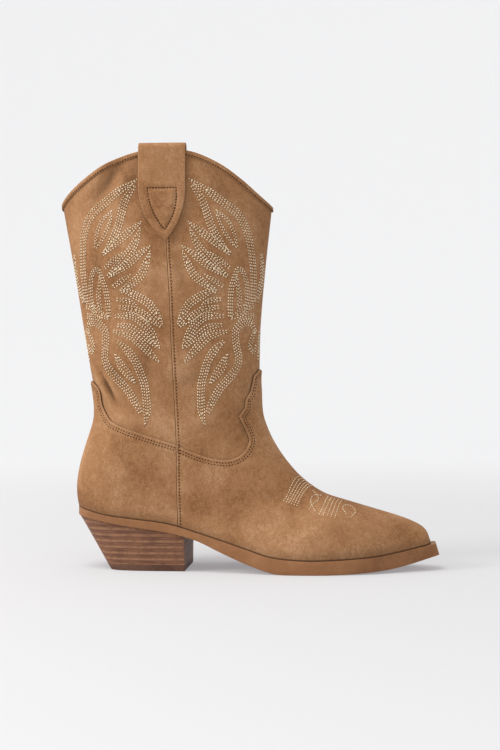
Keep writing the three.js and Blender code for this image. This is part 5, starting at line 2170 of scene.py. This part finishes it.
class Studio:
    """Camera, soft lights and a pale floor that sweeps up all round."""

    TARGET = (0.001, 0.0, 0.154)
    AZIMUTH = 4.5
    DISTANCE = 1.15
    LENS = 69.0
    SKY_COLOUR, SKY_STRENGTH = (0.97, 0.985, 1.0, 1.0), 0.78
    LAMPS = (("top_light", (-0.5, -0.5, 2.0), 0.9, 19.0), ("side_light", (-1.5, -0.7, 0.9), 0.6, 20.0))
    FLOOR, CURVE = 1.7, 1.3  # radius of the flat paper, and of the bend round it
    TURNS = 96

    def camera(self) -> None:
        """A level camera, a little ahead of square on."""
        data = bpy.data.cameras.new("studio_camera")
        data.lens, data.sensor_width = self.LENS, 36.0
        camera = placed("studio_camera", data)
        turn = math.radians(self.AZIMUTH)
        back = Vector((math.sin(turn), -math.cos(turn), 0.0))
        camera.location = Vector(self.TARGET) + back * self.DISTANCE
        camera.rotation_euler = (-back).to_track_quat("-Z", "Y").to_euler()
        bpy.context.scene.camera = camera

    def lamp(self, name: str, place: tuple[float, float, float], size: float, power: float) -> None:
        """A soft square light that faces the boot."""
        data = bpy.data.lights.new(name, "AREA")
        data.size, data.energy = size, power
        lamp = placed(name, data)
        lamp.location = place
        lamp.rotation_euler = (Vector(self.TARGET) - Vector(place)).to_track_quat("-Z", "Y").to_euler()

    def sky(self) -> None:
        """Even light from all round."""
        world = bpy.data.worlds.new("soft_sky")
        world.use_nodes = True
        sky = world.node_tree.nodes["Background"]
        sky.inputs["Color"].default_value = self.SKY_COLOUR
        sky.inputs["Strength"].default_value = self.SKY_STRENGTH
        bpy.context.scene.world = world
        bpy.context.scene.view_settings.view_transform = "Standard"

    def paper(self) -> bpy.types.Material:
        """Matt paper that glows a little, more so away from the boot."""
        finish, g, shader = Effects.start("pale_paper")
        place = g.object_place()
        reach = g.node("ShaderNodeVectorMath", {0: place}, operation="LENGTH").outputs["Value"]
        near, far = (0.275, 0.272, 0.285, 1), (0.49, 0.495, 0.505, 1)
        g.fill(shader, {
            "Base Color": g.mix(g.noise(place, 260.0, 2.0), (0.39, 0.385, 0.38, 1), (0.41, 0.405, 0.4, 1)),
            "Emission Color": g.mix(g.span(reach, 0.15, self.FLOOR), near, far),
            "Emission Strength": 1.0, "Specular IOR Level": 0.0, "Roughness": 0.9,
        })
        return finish

    def sweep(self) -> None:
        """The paper: a flat round floor that bends up into a wall."""
        rim = self.FLOOR + self.CURVE
        profile = [(0.4, 0.0), (0.9, 0.0), (self.FLOOR, 0.0)]
        for turn in np.linspace(0, np.pi / 2, 14)[1:]:
            profile.append((self.FLOOR + self.CURVE * math.sin(turn), self.CURVE * (1 - math.cos(turn))))
        profile += [(rim, 2.0), (rim, 2.8)]
        turns = np.linspace(0, 2 * np.pi, self.TURNS + 1)[:-1]
        points = [(0.0, 0.0, 0.0)]
        for radius, z in profile:
            points += [(radius * math.cos(t), radius * math.sin(t), z) for t in turns]
        after = [(i + 1) % self.TURNS for i in range(self.TURNS)]
        faces = [(0, 1 + i, 1 + after[i]) for i in range(self.TURNS)]
        for k in range(len(profile) - 1):
            a, b = 1 + k * self.TURNS, 1 + (k + 1) * self.TURNS
            faces += [(a + i, b + i, b + after[i], a + after[i]) for i in range(self.TURNS)]
        mesh = bpy.data.meshes.new("paper_sweep")
        mesh.from_pydata(points, [], faces)
        mesh.shade_smooth()
        mesh.materials.append(self.paper())
        placed("paper_sweep", mesh)

    def build(self) -> None:
        """Sets everything up."""
        self.camera()
        self.sky()
        for lamp in self.LAMPS:
            self.lamp(*lamp)
        self.sweep()


# ---------------------------------------------------------------- the boot


class HiddenParts:
    """CAD nodes that are kept as they are, inside the boot."""

    SLOTS = {"forefoot_filler": "cork", "shank": "steel"} | {f"heel_nail_{i}": "steel" for i in range(1, 6)}

    def dress(self, finishes: Finishes) -> None:
        """Gives them their materials."""
        for name, slot in self.SLOTS.items():
            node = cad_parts[name]
            node.data.materials.clear()
            node.data.materials.append(finishes[slot])


def main() -> None:
    """Builds the boot and the studio round it."""
    logging.basicConfig(level=logging.INFO, format="%(name)s: %(message)s")
    outer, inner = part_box("pull_strap_outer")[0].y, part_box("pull_strap_inner")[1].y
    origin = (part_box("heel_toplift")[1].x / MM - HEEL_BREAST, (outer + inner) / 2 / MM)
    log.info("origin %.3f %.3f", *origin)
    last = Last(origin)
    back = float(last.feather(HEEL_MARGIN)[:, 0].min())
    pitch = (float(last.line(smooth(SOLE_BOTTOM)).height(np.array([back]))[0]) - TOPLIFT) / LIFTS
    finishes = Finishes(pitch, HEEL_BREAST + last.origin[0])
    machine = SewingMachine()
    tools = (last, finishes, machine)
    Upper(*tools).build()
    Binding(*tools).build()
    PullStrap(*tools, "pull_strap_outer", -1).build()
    PullStrap(*tools, "pull_strap_inner", 1).build()
    Embroidery(*tools).build()
    bottom = Bottom(last, finishes)
    bottom.build_sole()
    bottom.build_insole()
    bottom.build_heel()
    HiddenParts().dress(finishes)
    Studio().build()


if __name__ == "__main__":
    main()
